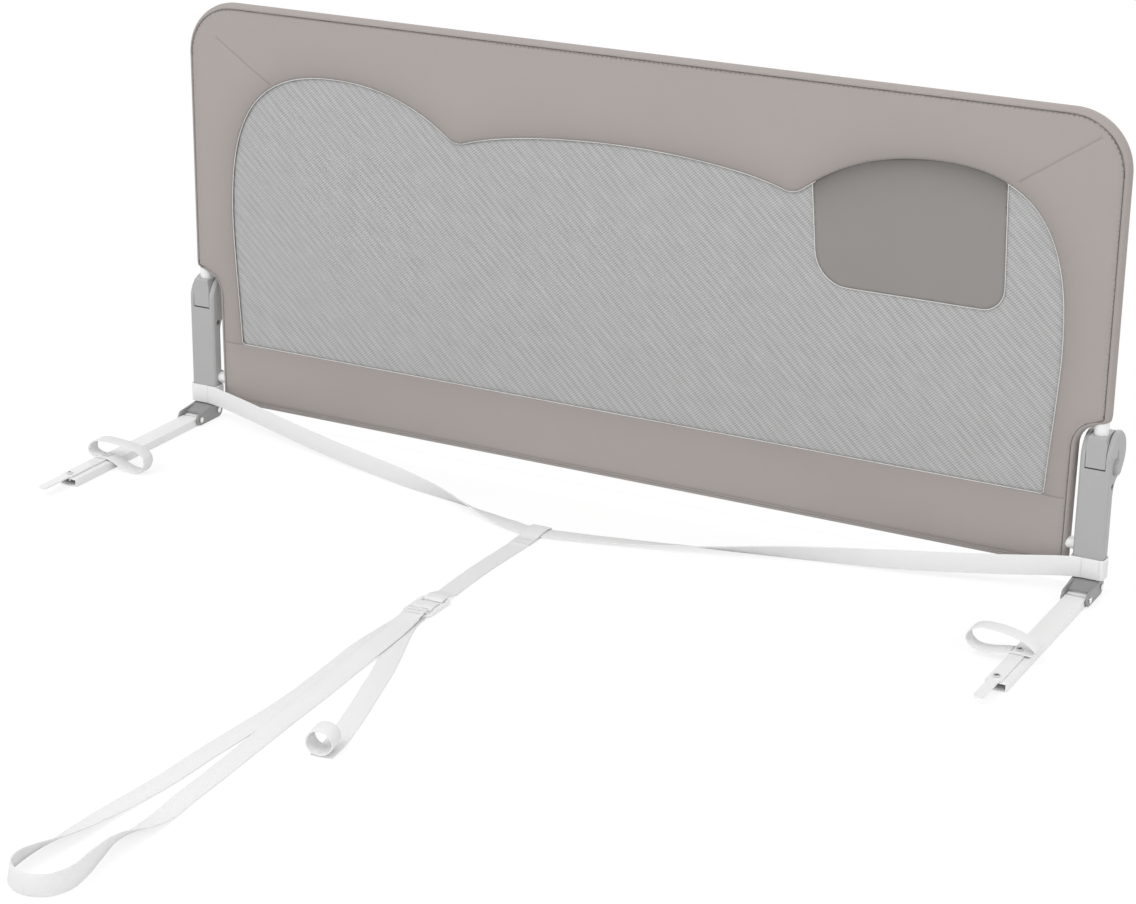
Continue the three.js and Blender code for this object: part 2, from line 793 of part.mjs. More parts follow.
function windowOutline(path, curves) {
  const rise = windowTop - windowBottom;
  const place = (side) => ([u, v]) => [side * u * windowHalf, windowBottom + v * rise];
  const right = place(1);
  const left = place(-1);
  path.moveTo(...right(windowShares[0][0]));
  for (let k = 1; k < curves; k += 1) {
    path.bezierCurveTo(...windowShares[k].flatMap(right));
  }
  for (let k = curves - 1; k > 0; k -= 1) {
    const [first, second, end] = windowShares[k];
    if (k === curves - 1) path.lineTo(...left(end));
    path.bezierCurveTo(...[second, first, windowShares[k - 1].at(-1)].flatMap(left));
  }
  return path;
}

function coverShell() {
  const outline = coverOutline();
  let shell = prismY(outline, [coverFront, coverBack], coverWall);
  shell = shell.subtract(prismY(outline, [coverFront + coverWall, coverBack - coverWall], 0, coverWall));
  const opening = windowOutline(new THREE.Shape(), windowShares.length);
  shell = shell.subtract(prismY(opening, [coverFront - overrun, coverBack + overrun]));
  const hole = [tubeRadius + fit, hingeHeight + socketRise, hingeHeight + 2 * roofRise];
  for (const side of [-1, 1]) {
    const axis = new THREE.Vector3(side * postCentre, tubeDepth, 0);
    shell = shell.subtract(rod(Z, ...hole, axis, tubeSides));
  }
  const lowerAxis = new THREE.Vector3(0, lowerTubeDepth, lowerTubeHeight);
  return shell.subtract(rod(X, lowerTubeRadius + fit, -postInner, postInner, lowerAxis, tubeSides));
}

// Parts a whole sheet at the fold line into the piece above and the piece below
function parted(solid) {
  const wide = [-railLength, railLength];
  const deep = [-railLength, railLength];
  const above = box(wide, deep, [hingeHeight + splitGap / 2, 2 * railHeight]);
  const below = box(wide, deep, [-railHeight, hingeHeight - splitGap / 2]);
  return [solid.intersect(above), solid.intersect(below)];
}

const pocketFront = coverFront + coverWall + fit;
const frontMesh = pocketFront + pocketThickness + fit;
const backMesh = coverBack - coverWall - fit - meshThickness;

function meshSheet(front) {
  const outline = windowOutline(new THREE.Shape(), crownCurves);
  return prismY(outline, [front, front + meshThickness], 0, -meshMargin);
}

function pocket() {
  const shape = new THREE.Shape();
  const top = windowTop + meshMargin / 2;
  const leftTop = top - pocketCorner;
  const cornerZ = pocketBottom + pocketCorner;
  const [leftCorner, rightCorner] = [pocketLeft + pocketCorner, pocketRight - pocketCorner];
  shape.absarc(rightCorner, cornerZ, pocketCorner, -Math.PI / 2, 0);
  shape.lineTo(pocketRight, top);
  shape.quadraticCurveTo((pocketLeft + pocketRight) / 2, top + meshMargin, pocketLeft, leftTop);
  shape.absarc(leftCorner, cornerZ, pocketCorner, Math.PI, Math.PI * 1.5);
  return prismY(shape, [pocketFront, pocketFront + pocketThickness]);
}

// Webbing: flat straps along routes of places, each with the roll of the strap in degrees

const layer = strapThickness + fit;
const onBase = strapThickness / 2 + fit;

const crossRoute = [
  [-490, -2.4, 26.8, 90],
  [-479, -3, 26.8, 90],
  [-440, -11.5, 24, 90],
  [-355, -34, 17, 90],
  [-275, -56, 13, 90],
  [-198, -77, 11, 84],
  [-137, -93.5, 9.4, 55],
  [-85, -107.5, 4.4, 18],
  [-52, -116, 2.4, 0],
  [-25, -122, 2.4, 0],
  [4, -117, 2.4, 0],
  [64, -102, 2.4, 6],
  [136, -84, 5, 22],
  [230, -61, 10, 58],
  [325, -38, 14, 88],
  [412, -17, 20, 90],
  [479, -3, 26.8, 90],
  [490, -2.4, 26.8, 90],
];

const centreRoute = [
  [-20, -152, 0.9],
  [-20, -130, 0.9],
  [-20, -109, 0.9],
  [-20, -106.4, 2.4],
  [-20, -109, 3.9],
  [-20, -130, 3.9],
  [-20, -148, 3.6],
  [-20.5, -160, 1.8],
  [-21, -178, 0.9],
  [-22, -228, 0.9],
  [-21, -270, 0.9],
  [-20, -292, 1],
  [-20, -301, 3],
  [-20, -306, 4.5],
  [-20, -311, 4.7],
  [-20, -315.5, 4.3],
  [-20, -318.5, 2.8],
];

const loopRoute = [
  [-20, -341.5, 2.8, 0],
  [-20, -344.5, 4.3, 0],
  [-20, -349, 4.7, 0],
  [-20, -354.5, 4.4, 0],
  [-20.5, -366, 2.6, 0],
  [-22, -400, 2.4, 0],
  [-23, -440, 2.4, 0],
  [-21, -490, 0.9, 0],
  [-18.5, -540, 0.9, 0],
  [-18.5, -580, 0.9, 0],
  [-20.5, -620, 0.9, 0],
  [-23, -671, 0.9, 0],
  [-24, -729, 0.9, 0],
  [-27, -770, 1.4, 3],
  [-30, -806, 4, 18],
  [-31, -836, 7.6, 42],
  [-32, -864, 10.4, 68],
  [-34, -888, 11, 88],
  [-33, -910, 11, 90],
  [-24, -927, 11, 92],
  [-6, -935, 11, 94],
  [12, -928, 11, 94],
  [20, -910, 11, 92],
  [18, -886, 11, 94],
  [14, -860, 10.6, 110],
  [11, -835, 8, 137],
  [11, -812, 4.2, 161],
  [11, -786, 1.6, 176],
  [8, -756, 0.9, 180],
  [5.5, -712, 0.9, 180],
  [2.5, -665, 1.1, 180],
  [0, -630, 2.4, 180],
  [-2.5, -590, 2.4, 180],
  [-5, -540, 2.4, 180],
  [-8.5, -490, 2.6, 180],
  [-11, -440, 3.9, 180],
  [-14, -400, 3.9, 180],
  [-17, -370, 4.6, 180],
  [-18.5, -356, 6.2, 180],
  [-19.5, -345, 6.4, 180],
];

const tailRoute = [
  [-17, -353.6, 0.9, 0],
  [-16.9, -360, 0.9, 0],
  [-13.5, -379, 0.9, 0],
  [-6, -402, 0.9, 0],
  [6, -434, 0.9, 0],
  [18, -468, 0.9, 0],
  [29, -505, 0.9, 0],
  [41, -545, 0.9, 0],
  [52, -585, 0.9, 0],
  [58, -610, 0.9, 0],
  [61, -634, 0.9, 0],
];

function strapAlong(route, acrossAt) {
  const places = new THREE.CatmullRomCurve3(route.map(([x, y, z]) => new THREE.Vector3(x, y, z)));
  const spans = route.length - 1;
  const stations = [];
  for (let k = 0; k <= spans * strapSteps; k += 1) {
    const share = k / (spans * strapSteps);
    const at = places.getPoint(share);
    at.z = Math.max(at.z, onBase);
    const along = places.getTangent(share);
    const index = Math.min(Math.floor(share * spans), spans - 1);
    const blend = share * spans - index;
    const roll = THREE.MathUtils.lerp(route[index][3] ?? 0, route[index + 1][3] ?? 0, blend);
    stations.push({ at, along, across: acrossAt(along, roll) });
  }
  return loft(stations, strapSection(strapWidth));
}

// Across the strap: level at no roll, upright at 90 degrees
function rolledAcross(along, roll) {
  const level = Z.clone().cross(along).normalize();
  return level.applyAxisAngle(along, -THREE.MathUtils.degToRad(roll));
}

function squareAcross(along) {
  return X.clone().addScaledVector(along, -along.x).normalize();
}

// Slide buckle: a rounded frame with a bar across its middle
function buckle() {
  const half = buckleWidth / 2;
  const halfLength = buckleLength / 2;
  const z = [fit, fit + buckleThickness];
  const outline = roundedRectangle(
    [buckleX - half, buckleX + half],
    [buckleY - halfLength, buckleY + halfLength],
    buckleCorner,
  );
  let frame = prismZ(outline, z, strapThickness / 2);
  for (const way of [-1, 1]) {
    const middle = buckleY + way * slotOffset;
    frame = frame.subtract(box(
      [buckleX - slotWidth / 2, buckleX + slotWidth / 2],
      [middle - slotLength / 2, middle + slotLength / 2],
      [z[0] - overrun, z[1] + overrun],
    ));
  }
  return frame;
}

// The ring at the end of the tail, an oval band that stands on its edge
function tailRing() {
  const halfHeight = tailRingHeight / 2;
  const middle = onBase + layer + halfHeight;
  const stations = [];
  for (let k = 0; k < ringSteps; k += 1) {
    const angle = ((k + 0.5) / ringSteps) * 2 * Math.PI;
    const [across, up] = [Math.cos(angle), Math.sin(angle)];
    const at = new THREE.Vector3(tailRingX + tailRingHalf * across, tailRingY, middle + halfHeight * up);
    const along = new THREE.Vector3(-tailRingHalf * up, 0, halfHeight * across).normalize();
    stations.push({ at, along, across: Y });
  }
  return loft(stations, strapSection(strapWidth), true);
}

// The pieces in their places

for (const [name, side] of [['left', -1], ['right', 1]]) {
  const centreX = side * postCentre;
  const screwX = centreX + (side > 0 ? rightStripShift : leftStripShift);
  addPiece(`${name}_post_casing`, postCasing(side, centreX), greyPlastic);
  addPiece(`${name}_post_core`, postCore(centreX), bareSteel);
  addPiece(`${name}_post_screw`, postScrew(centreX), bareSteel);
  addPiece(`${name}_hinge_pin`, hingePin(centreX), bareSteel);
  addPiece(`${name}_strap_band`, strapBand(centreX), webbing);
  addPiece(`${name}_hinge_knuckle`, hingeKnuckle(centreX), greyPlastic);
  addPiece(`${name}_release_button`, releaseButton(side, centreX), greyPlastic);
  addPiece(`${name}_button_spring`, buttonSpring(side, centreX), bareSteel);
  addPiece(`${name}_foot_bracket`, footBracket(centreX), darkPlastic);
  addPiece(`${name}_post_pin`, rivet(centreX, heelDepth, heelRadius + fit), bareSteel);
  addPiece(`${name}_arm_pin`, rivet(centreX, -noseReach, noseRadius + fit), bareSteel);
  addPiece(`${name}_arm`, arm(centreX, screwX), whiteSteel);
  addPiece(`${name}_arm_strip`, armStrip(screwX), whiteSteel);
  addPiece(`${name}_inner_screw`, armScrew(screwX, -innerScrew, tieSeat), bareSteel);
  addPiece(`${name}_outer_screw`, armScrew(screwX, -outerScrew, stripTop + fit), bareSteel);
  addPiece(`${name}_tie_strap`, tieStrap(screwX, side > 0 ? rightTieLoop : leftTieLoop), webbing);
  addPiece(`${name}_side_tube`, sideTube(side), whiteSteel);
  addPiece(`${name}_tube_insert`, tubeInsert(side), darkPlastic);
}

addPiece('top_tube', spanTube(plugX - fit, tubeDepth, topTubeHeight, tubeRadius), whiteSteel);
const lowerReach = postCentre - coreWidth / 2 - fit;
addPiece('lower_tube', spanTube(lowerReach, lowerTubeDepth, lowerTubeHeight, lowerTubeRadius), whiteSteel);

const [upperCover, lowerCover] = parted(coverShell());
addPiece('upper_cover', upperCover, fabric);
addPiece('lower_cover', lowerCover, fabric);
for (const [name, front] of [['front', frontMesh], ['back', backMesh]]) {
  const [upper, lower] = parted(meshSheet(front));
  addPiece(`upper_${name}_mesh`, upper, mesh);
  addPiece(`lower_${name}_mesh`, lower, mesh);
}
addPiece('pocket', pocket(), pocketFabric);

addPiece('cross_strap', strapAlong(crossRoute, rolledAcross), webbing);
addPiece('centre_strap', strapAlong(centreRoute, squareAcross), webbing);
addPiece('slide_buckle', buckle(), darkPlastic);
addPiece('loop_strap', strapAlong(loopRoute, rolledAcross), webbing);
addPiece('tail_strap', strapAlong(tailRoute, rolledAcross), webbing);
addPiece('tail_ring', tailRing(), webbing);

// The footprint runs from the tips of the strips to the backs of the hinge heads
rail.position.y = (stripEnd - (hingeDepth + headRadius)) / 2;

export default rail;
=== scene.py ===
# %% [markdown]
# # A folding bed guard rail
# The rail keeps a child from rolling out of bed. A fabric cover is pulled over a bent tube
# frame, its window is closed with two sheets of net, and two hinged posts let the whole
# panel fold down over the side of the bed. Two flat arms and a long webbing anchor lie under
# the mattress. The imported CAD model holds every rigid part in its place, so this script
# dresses that frame: it keeps the rigid parts, gives them finishes, and sews the soft ones.

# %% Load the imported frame
import math

import bmesh
import bpy
import numpy as np
from mathutils import Matrix, Vector, geometry


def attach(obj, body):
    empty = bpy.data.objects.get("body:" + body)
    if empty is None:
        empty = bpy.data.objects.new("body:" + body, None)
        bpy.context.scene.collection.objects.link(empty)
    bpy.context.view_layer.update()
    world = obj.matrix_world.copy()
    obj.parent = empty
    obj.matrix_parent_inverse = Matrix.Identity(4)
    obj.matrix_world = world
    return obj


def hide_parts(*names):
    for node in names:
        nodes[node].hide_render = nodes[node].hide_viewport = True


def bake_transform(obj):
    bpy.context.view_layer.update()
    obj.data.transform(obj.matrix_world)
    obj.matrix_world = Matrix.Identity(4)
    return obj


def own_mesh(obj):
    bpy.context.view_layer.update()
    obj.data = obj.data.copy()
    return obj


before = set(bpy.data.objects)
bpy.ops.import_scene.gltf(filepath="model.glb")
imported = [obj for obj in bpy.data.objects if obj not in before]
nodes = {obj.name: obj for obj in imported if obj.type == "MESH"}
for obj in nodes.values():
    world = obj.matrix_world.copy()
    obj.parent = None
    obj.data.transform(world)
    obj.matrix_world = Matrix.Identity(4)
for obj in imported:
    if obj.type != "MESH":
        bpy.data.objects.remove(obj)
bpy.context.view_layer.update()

# %% [markdown]
# ## The camera
# The photograph was taken from the right of the rail and a little above it. The place,
# the turn and the focal length were worked out beforehand from straight edges and known
# sizes on the rail, so the camera is set from those numbers and is not aimed by eye. The
# picture was cropped off centre, and the lens shift makes up for that.

# %% Camera
IMAGE_WIDTH = 1136
IMAGE_HEIGHT = 904
FOCAL_PIXELS = 2823.0
AXIS_PIXEL = (538.1, 450.7)
CAMERA_PLACE = Vector((1.1956, -2.2524, 1.0293))
CAMERA_YAW = math.radians(-28.361)
CAMERA_PITCH = math.radians(20.240)
CAMERA_ROLL = math.radians(0.538)

camera_data = bpy.data.cameras.new("photo_camera")
camera_data.sensor_fit = "HORIZONTAL"
camera_data.lens = FOCAL_PIXELS * camera_data.sensor_width / IMAGE_WIDTH
camera_data.shift_x = (IMAGE_WIDTH / 2 - AXIS_PIXEL[0]) / IMAGE_WIDTH
camera_data.shift_y = (AXIS_PIXEL[1] - IMAGE_HEIGHT / 2) / IMAGE_WIDTH
camera = bpy.data.objects.new("photo_camera", camera_data)
bpy.context.scene.collection.objects.link(camera)
tip = Matrix.Rotation(math.pi / 2 - CAMERA_PITCH, 4, "X")
turn = Matrix.Rotation(-CAMERA_YAW, 4, "Z") @ tip @ Matrix.Rotation(CAMERA_ROLL, 4, "Z")
camera.matrix_world = Matrix.Translation(CAMERA_PLACE) @ turn
bpy.context.scene.camera = camera
print("camera lens", round(camera_data.lens, 2), "mm")

# %% [markdown]
# ## Shared helpers
# All soft pieces are built from plain lists of points, because sewn cloth follows edges
# that are drawn as curves. The next helpers turn lists into a mesh object, give it a
# cloth map in metres (so that weaves keep their real size), and sweep a flat or round
# section along a path.

# %% Mesh helpers
MM = 0.001
DEPTH_SHIFT = 117.5
SIDES = {"left": -1, "right": 1}
RIGHT, AWAY, UP = (Vector(row) for row in Matrix.Identity(3))


def place(x, y, z):
    """A point in millimetres from the posts' front face, as metres in the frame."""
    return (x * MM, (y + DEPTH_SHIFT) * MM, z * MM)


def linked(name, data):
    thing = bpy.data.objects.new(name, data)
    bpy.context.scene.collection.objects.link(thing)
    return thing


def new_piece(name, points, faces, cloth_map=None):
    mesh = bpy.data.meshes.new(name)
    mesh.from_pydata([tuple(p) for p in points], [], faces)
    mesh.shade_smooth()
    if cloth_map is not None:
        layer = mesh.uv_layers.new(name="cloth")
        for loop in mesh.loops:
            layer.data[loop.index].uv = cloth_map[loop.vertex_index]
    mesh.update()
    return linked(name, mesh)


def sweep(name, stations, section, closed=False):
    """Stations are (point, across, other) and the section is (u, v) pairs, all in metres."""
    points, cloth_map, faces = [], [], []
    travelled = 0.0
    for k, (at, across, other) in enumerate(stations):
        if k:
            travelled += (at - stations[k - 1][0]).length
        for u, v in section:
            points.append(at + across * u + other * v)
            cloth_map.append((travelled, u))
    count = len(section)
    rows = len(stations) if closed else len(stations) - 1
    for i in range(rows):
        near, far = i * count, ((i + 1) % len(stations)) * count
        for j in range(count):
            after = (j + 1) % count
            faces.append((near + j, near + after, far + after, far + j))
    if not closed:
        faces.append(tuple(range(count - 1, -1, -1)))
        faces.append(tuple(range(rows * count, (rows + 1) * count)))
    return new_piece(name, points, faces, cloth_map)


def clothed(piece, thickness):
    """Give a sheet its thickness, behind the face that its points lie on."""
    body = piece.modifiers.new("cloth thickness", "SOLIDIFY")
    body.thickness = thickness * MM
    body.offset = -1


# Stores a painted shade per point: how far the colour is darkened where shade falls.
def store_painted_shade(piece, painted_darkening):
    layer = piece.data.attributes.new("painted_shade", "FLOAT", "POINT")
    layer.data.foreach_set("value", painted_darkening)


def as_faces(triangles, side=1):
    return [tuple(int(k) for k in corners[::side]) for corners in triangles]


# %% [markdown]
# A sewing pattern is a set of curves. Lines, arcs and Bezier curves are sampled to points,
# then the points are spread evenly, which gives the cloth triangles of one size.

# %% Curve helpers
SAME_PLACE = 0.01
QUARTER = math.pi / 2


def arc(centre_x, centre_z, radius, start, end, steps=20):
    angles = np.linspace(start, end, steps + 1)
    round_about = np.stack([np.cos(angles), np.sin(angles)], axis=1)
    return np.array([centre_x, centre_z]) + radius * round_about


def bezier(*controls, steps=24):
    shares = np.linspace(0, 1, steps + 1)[:, None]
    layers = [np.array([control], float) for control in controls]
    while len(layers) > 1:
        layers = [a * (1 - shares) + b * shares for a, b in zip(layers, layers[1:])]
    return layers[0]


def joined(*runs, closed=True):
    """The runs in one row, without points that repeat."""
    row = [tuple(p) for run in runs for p in np.atleast_2d(run)]
    kept = [row[0]]
    for point in row[1:]:
        if math.dist(point, kept[-1]) > SAME_PLACE:
            kept.append(point)
    if closed and math.dist(kept[0], kept[-1]) < SAME_PLACE:
        kept.pop()
    return np.array(kept)


def evenly(path, step, closed=True):
    """The path again, with points at even distances of about step."""
    ring = np.vstack([path, path[:1]]) if closed else path
    lengths = np.linalg.norm(np.diff(ring, axis=0), axis=1)
    along = np.concatenate([[0], np.cumsum(lengths)])
    count = max(2, round(along[-1] / step))
    wanted = np.linspace(0, along[-1], count + 1)
    spread = np.stack([np.interp(wanted, along, ring[:, k]) for k in (0, 1)], axis=1)
    return spread[:-1] if closed else spread


def normals_of(path):
    """Normals on the right of the way round: outward where the path runs anticlockwise."""
    forward = np.roll(path, -1, axis=0) - np.roll(path, 1, axis=0)
    normals = np.stack([forward[:, 1], -forward[:, 0]], axis=1)
    return normals / np.linalg.norm(normals, axis=1)[:, None]


def moved_out(path, distance):
    return path + normals_of(path) * distance


def distance_to(points, path, closed=True):
    starts = path if closed else path[:-1]
    ends = np.roll(path, -1, axis=0) if closed else path[1:]
    span = ends - starts
    nearest = np.full(len(points), np.inf)
    for start, way in zip(starts, span):
        share = np.clip((points - start) @ way / (way @ way), 0, 1)
        gap = np.linalg.norm(points - start - share[:, None] * way, axis=1)
        nearest = np.minimum(nearest, gap)
    return nearest


def inside(points, path):
    x, z = points[:, 0], points[:, 1]
    crossings = np.zeros(len(points), bool)
    for (x0, z0), (x1, z1) in zip(path, np.roll(path, -1, axis=0)):
        if z0 != z1:
            between = (z0 > z) != (z1 > z)
            crossings ^= between & (x < (x1 - x0) * (z - z0) / (z1 - z0) + x0)
    return crossings


# %% [markdown]
# ## Webbing routes
# Flat polyester webbing, 20 mm wide, ties the two posts together and runs back under the
# mattress. Each strap is a row of places in millimetres, with the roll of the strap in
# degrees: at 0 it lies flat, at 90 it stands on its edge. The curve through the places is
# the one that the CAD source uses, and the straps stay within millimetres of the solids.

# %% Strap routes
TAIL_PLACES = [
    (-17, -353.6), (-16.9, -360), (-13.5, -379), (-6, -402), (6, -434), (18, -468),
    (29, -505), (41, -545), (52, -585), (58, -610), (61, -634),
]
ROUTES = {
    "cross": [
        (-490, -1.1, 26.8, 90), (-479, -3, 26.8, 90), (-440, -11.5, 24, 90), (-355, -34, 17, 90),
        (-275, -56, 13, 90), (-198, -77, 11, 84), (-137, -93.5, 9.4, 55), (-85, -107.5, 4.4, 18),
        (-52, -116, 2.4, 0), (-25, -122, 2.4, 0), (4, -117, 2.4, 0), (64, -102, 2.4, 6),
        (136, -84, 5, 22), (230, -61, 10, 58), (325, -38, 14, 88), (412, -17, 20, 90),
        (479, -3, 26.8, 90), (490, -1.1, 26.8, 90),
    ],
    "centre": [
        (-20, -152, 0.9, 0), (-20, -130, 0.9, 0), (-20, -109, 0.9, 0), (-20, -106.6, 2.4, 0),
        (-20, -109, 3.9, 0), (-20, -130, 3.8, 0), (-20, -137, 2.4, 0), (-20, -152, 2.1, 0),
        (-20.5, -160, 1, 0), (-21, -178, 0.9, 0), (-22, -228, 0.9, 0), (-21, -270, 0.9, 0),
        (-20, -292, 1, 0), (-20, -301, 3, 0), (-20, -306, 4.5, 0), (-20, -311, 4.7, 0),
        (-20, -315.5, 4.3, 0), (-20, -318.5, 2.8, 0),
    ],
    "loop": [
        (-20, -341.5, 2.8, 0), (-20, -344.5, 4.3, 0), (-20, -349, 4.7, 0), (-20, -354.5, 4.4, 0),
        (-20.5, -366, 2.6, 0), (-22, -400, 2.4, 0), (-23, -440, 2.4, 0), (-21, -490, 0.9, 0),
        (-18.5, -540, 0.9, 0), (-18.5, -580, 0.9, 0), (-20.5, -620, 0.9, 0), (-23, -671, 0.9, 0),
        (-24, -729, 0.9, 0), (-27, -770, 1.4, -2), (-30, -806, 2.4, -8), (-31, -836, 4.2, -18),
        (-32, -864, 6.6, -34), (-34, -888, 8.8, -52), (-33, -910, 10.4, -70), (-24, -927, 11, -84),
        (-6, -935, 11, -92), (12, -928, 11, -94), (20, -910, 11, -92), (18, -886, 11, -94),
        (14, -860, 10.6, -110), (11, -835, 8, -137), (11, -812, 4.2, -161), (11, -786, 1.6, -176),
        (8, -756, 0.9, -180), (5.5, -712, 0.9, -180), (2.5, -665, 1.1, -180), (0, -630, 1.1, -182),
        (-2.5, -590, 1.6, -185), (-5, -540, 1.8, -186), (-8.5, -490, 2.1, -186), (-11, -440, 3.7, -188),
        (-14, -400, 3.8, -188), (-17, -370, 4.6, -185), (-18.5, -356, 6.2, -180),
        (-19.5, -345, 6.4, -180),
    ],
    "tail": [(x, y, 0.9, 0) for x, y in TAIL_PLACES],
}

# %% [markdown]
# The curve is a centripetal Catmull-Rom spline: it passes through every place without
# overshooting where places lie close together, as at the folds by the buckle. Webbing is
# thin, so it is swept as a flat section with rounded edges, not as a curve with a bevel.

# %% Webbing helpers
WEB_WIDTH = 0.020
WEB_THICKNESS = 0.0012
WEB_FLOOR = 0.0009
WEB_STEPS = 6
WEB_SOFT_EDGE = 0.35


def smooth_place(places, position):
    """The point at a position counted in places, on a centripetal Catmull-Rom curve."""
    index = min(int(position), len(places) - 2)
    share = position - index
    b, c = places[index], places[index + 1]
    a = places[index - 1] if index else b + (b - c)
    d = places[index + 2] if index + 2 < len(places) else c + (c - b)
    first, middle, last = (math.sqrt((q - p).length) for p, q in ((a, b), (b, c), (c, d)))
    leave = ((b - a) / first - (c - a) / (first + middle) + (c - b) / middle) * middle
    arrive = ((c - b) / middle - (d - b) / (middle + last) + (d - c) / last) * middle
    square, cube = share**2, share**3
    return (
        b * (2 * cube - 3 * square + 1)
        + leave * (cube - 2 * square + share)
        + c * (3 * square - 2 * cube)
        + arrive * (cube - square)
    )


def route_stations(route, square=False):
    """Stations along a route. A square strap keeps its width level and along X."""
    places = [Vector(place(*row[:3])) for row in route]
    rolls = [row[3] for row in route]
    spans = len(places) - 1
    points = [smooth_place(places, k / WEB_STEPS) for k in range(spans * WEB_STEPS + 1)]
    for point in points:
        point.z = max(point.z, WEB_FLOOR)
    stations = []
    for k, point in enumerate(points):
        before, after = points[max(k - 1, 0)], points[min(k + 1, len(points) - 1)]
        along = (after - before).normalized()
        index = min(k // WEB_STEPS, spans - 1)
        share = k / WEB_STEPS - index
        roll = rolls[index] * (1 - share) + rolls[index + 1] * share
        if square:
            across = (RIGHT - along * along.x).normalized()
        else:
            level = UP.cross(along).normalized()
            across = Matrix.Rotation(-math.radians(roll), 3, along) @ level
        stations.append((point, across, along.cross(across)))
    return stations


def web_section(width=WEB_WIDTH):
    half, deep = width / 2, WEB_THICKNESS / 2
    soft = WEB_THICKNESS * WEB_SOFT_EDGE
    upper = [(-half, 0), (-half + soft * 0.4, deep * 0.7), (-half + soft * 1.6, deep)]
    upper += [(0, deep * 1.06), (half - soft * 1.6, deep), (half - soft * 0.4, deep * 0.7)]
    lower = [(-u, -v) for u, v in upper]
    return upper[::-1] + lower[::-1]


def length_along(stations):
    return sum((b[0] - a[0]).length for a, b in zip(stations, stations[1:]))


def closed_strap(name, places, width, steps=WEB_STEPS):
    """A strap closed on itself in an upright plane along X, on the same curve."""
    ring = [places[-1], *places, *places[:2]]
    count = len(places) * steps
    points = [smooth_place(ring, 1 + k / steps) for k in range(count)]
    stations = []
    for k, point in enumerate(points):
        along = (points[(k + 1) % count] - points[k - 1]).normalized()
        stations.append((point, AWAY, along.cross(AWAY)))
    return sweep(name, stations, web_section(width), closed=True)


# %% Sew the four straps
straps = {}
for name, route in ROUTES.items():
    stations = route_stations(route, square=name == "centre")
    straps[name] = (sweep(f"{name}_webbing", stations, web_section()), stations)
    print(name, "webbing is", round(length_along(stations), 3), "m long")

# %% [markdown]
# ## Slide buckle, tail ring and the bands round the posts
# The buckle is a moulded slide with a bar across its middle. The tail strap ends in a
# sewn ring for a hand, and a short band of the same webbing goes round each post's foot.
# Each of them replaces its CAD solid.

# %% Buckle
BUCKLE_PLACE = (-20, -330)
BUCKLE_SIZE = (30, 45)
BUCKLE_THICKNESS = 3
BUCKLE_CORNER = 8
BUCKLE_EDGE = 0.7
BUCKLE_LIFT = 0.3
BUCKLE_SLOT = (22, 10)
BUCKLE_SLOT_OFFSET = 11
BUCKLE_SLOT_CORNER = 1.5


def rounded_rectangle(centre, size, radius, steps=6):
    """Its four corner arcs, anticlockwise from the lower right one."""
    runs = []
    for k, (way_x, way_z) in enumerate(((1, -1), (1, 1), (-1, 1), (-1, -1))):
        x = centre[0] + way_x * (size[0] / 2 - radius)
        z = centre[1] + way_z * (size[1] / 2 - radius)
        runs.append(arc(x, z, radius, (k - 1) * QUARTER, k * QUARTER, steps))
    return joined(*runs)


def filled_outline(name, outlines, thickness, edge):
    """A flat moulding with rounded edges: the first outline is its rim, the others holes."""
    curve = bpy.data.curves.new(name, "CURVE")
    curve.dimensions = "2D"
    curve.fill_mode = "BOTH"
    curve.extrude = thickness / 2 - edge
    curve.bevel_depth = edge
    curve.bevel_resolution = 2
    curve.offset = -edge
    for outline in outlines:
        spline = curve.splines.new("POLY")
        spline.points.add(len(outline) - 1)
        for point, (x, z) in zip(spline.points, outline):
            point.co = (x * MM, z * MM, 0, 1)
        spline.use_cyclic_u = True
    carrier = linked(name, curve)
    bpy.context.view_layer.update()
    graph = bpy.context.evaluated_depsgraph_get()
    mesh = bpy.data.meshes.new_from_object(carrier.evaluated_get(graph))
    bpy.data.objects.remove(carrier)
    return linked(name, mesh)


buckle_rings = [rounded_rectangle(BUCKLE_PLACE, BUCKLE_SIZE, BUCKLE_CORNER)]
for way in (-1, 1):
    middle = (BUCKLE_PLACE[0], BUCKLE_PLACE[1] + way * BUCKLE_SLOT_OFFSET)
    buckle_rings.append(rounded_rectangle(middle, BUCKLE_SLOT, BUCKLE_SLOT_CORNER)[::-1])
buckle = filled_outline("webbing_buckle", buckle_rings, BUCKLE_THICKNESS * MM, BUCKLE_EDGE * MM)
buckle.data.transform(Matrix.Translation(place(0, 0, BUCKLE_LIFT + BUCKLE_THICKNESS / 2)))
print("buckle", len(buckle.data.polygons), "faces")

# %% Fold of webbing over the buckle's bar
FOLD_PLACES = [
    (-321.5, 0.9), (-322.3, 2.6), (-324.1, 3.8), (-327, 4.2), (-330, 4.3),
    (-333, 4.2), (-335.9, 3.8), (-337.7, 2.6), (-338.5, 0.9),
]
BAR_FOLD = [(-20, y, z, 0) for y, z in FOLD_PLACES]
bar_fold = sweep("bar_fold_webbing", route_stations(BAR_FOLD, square=True), web_section())

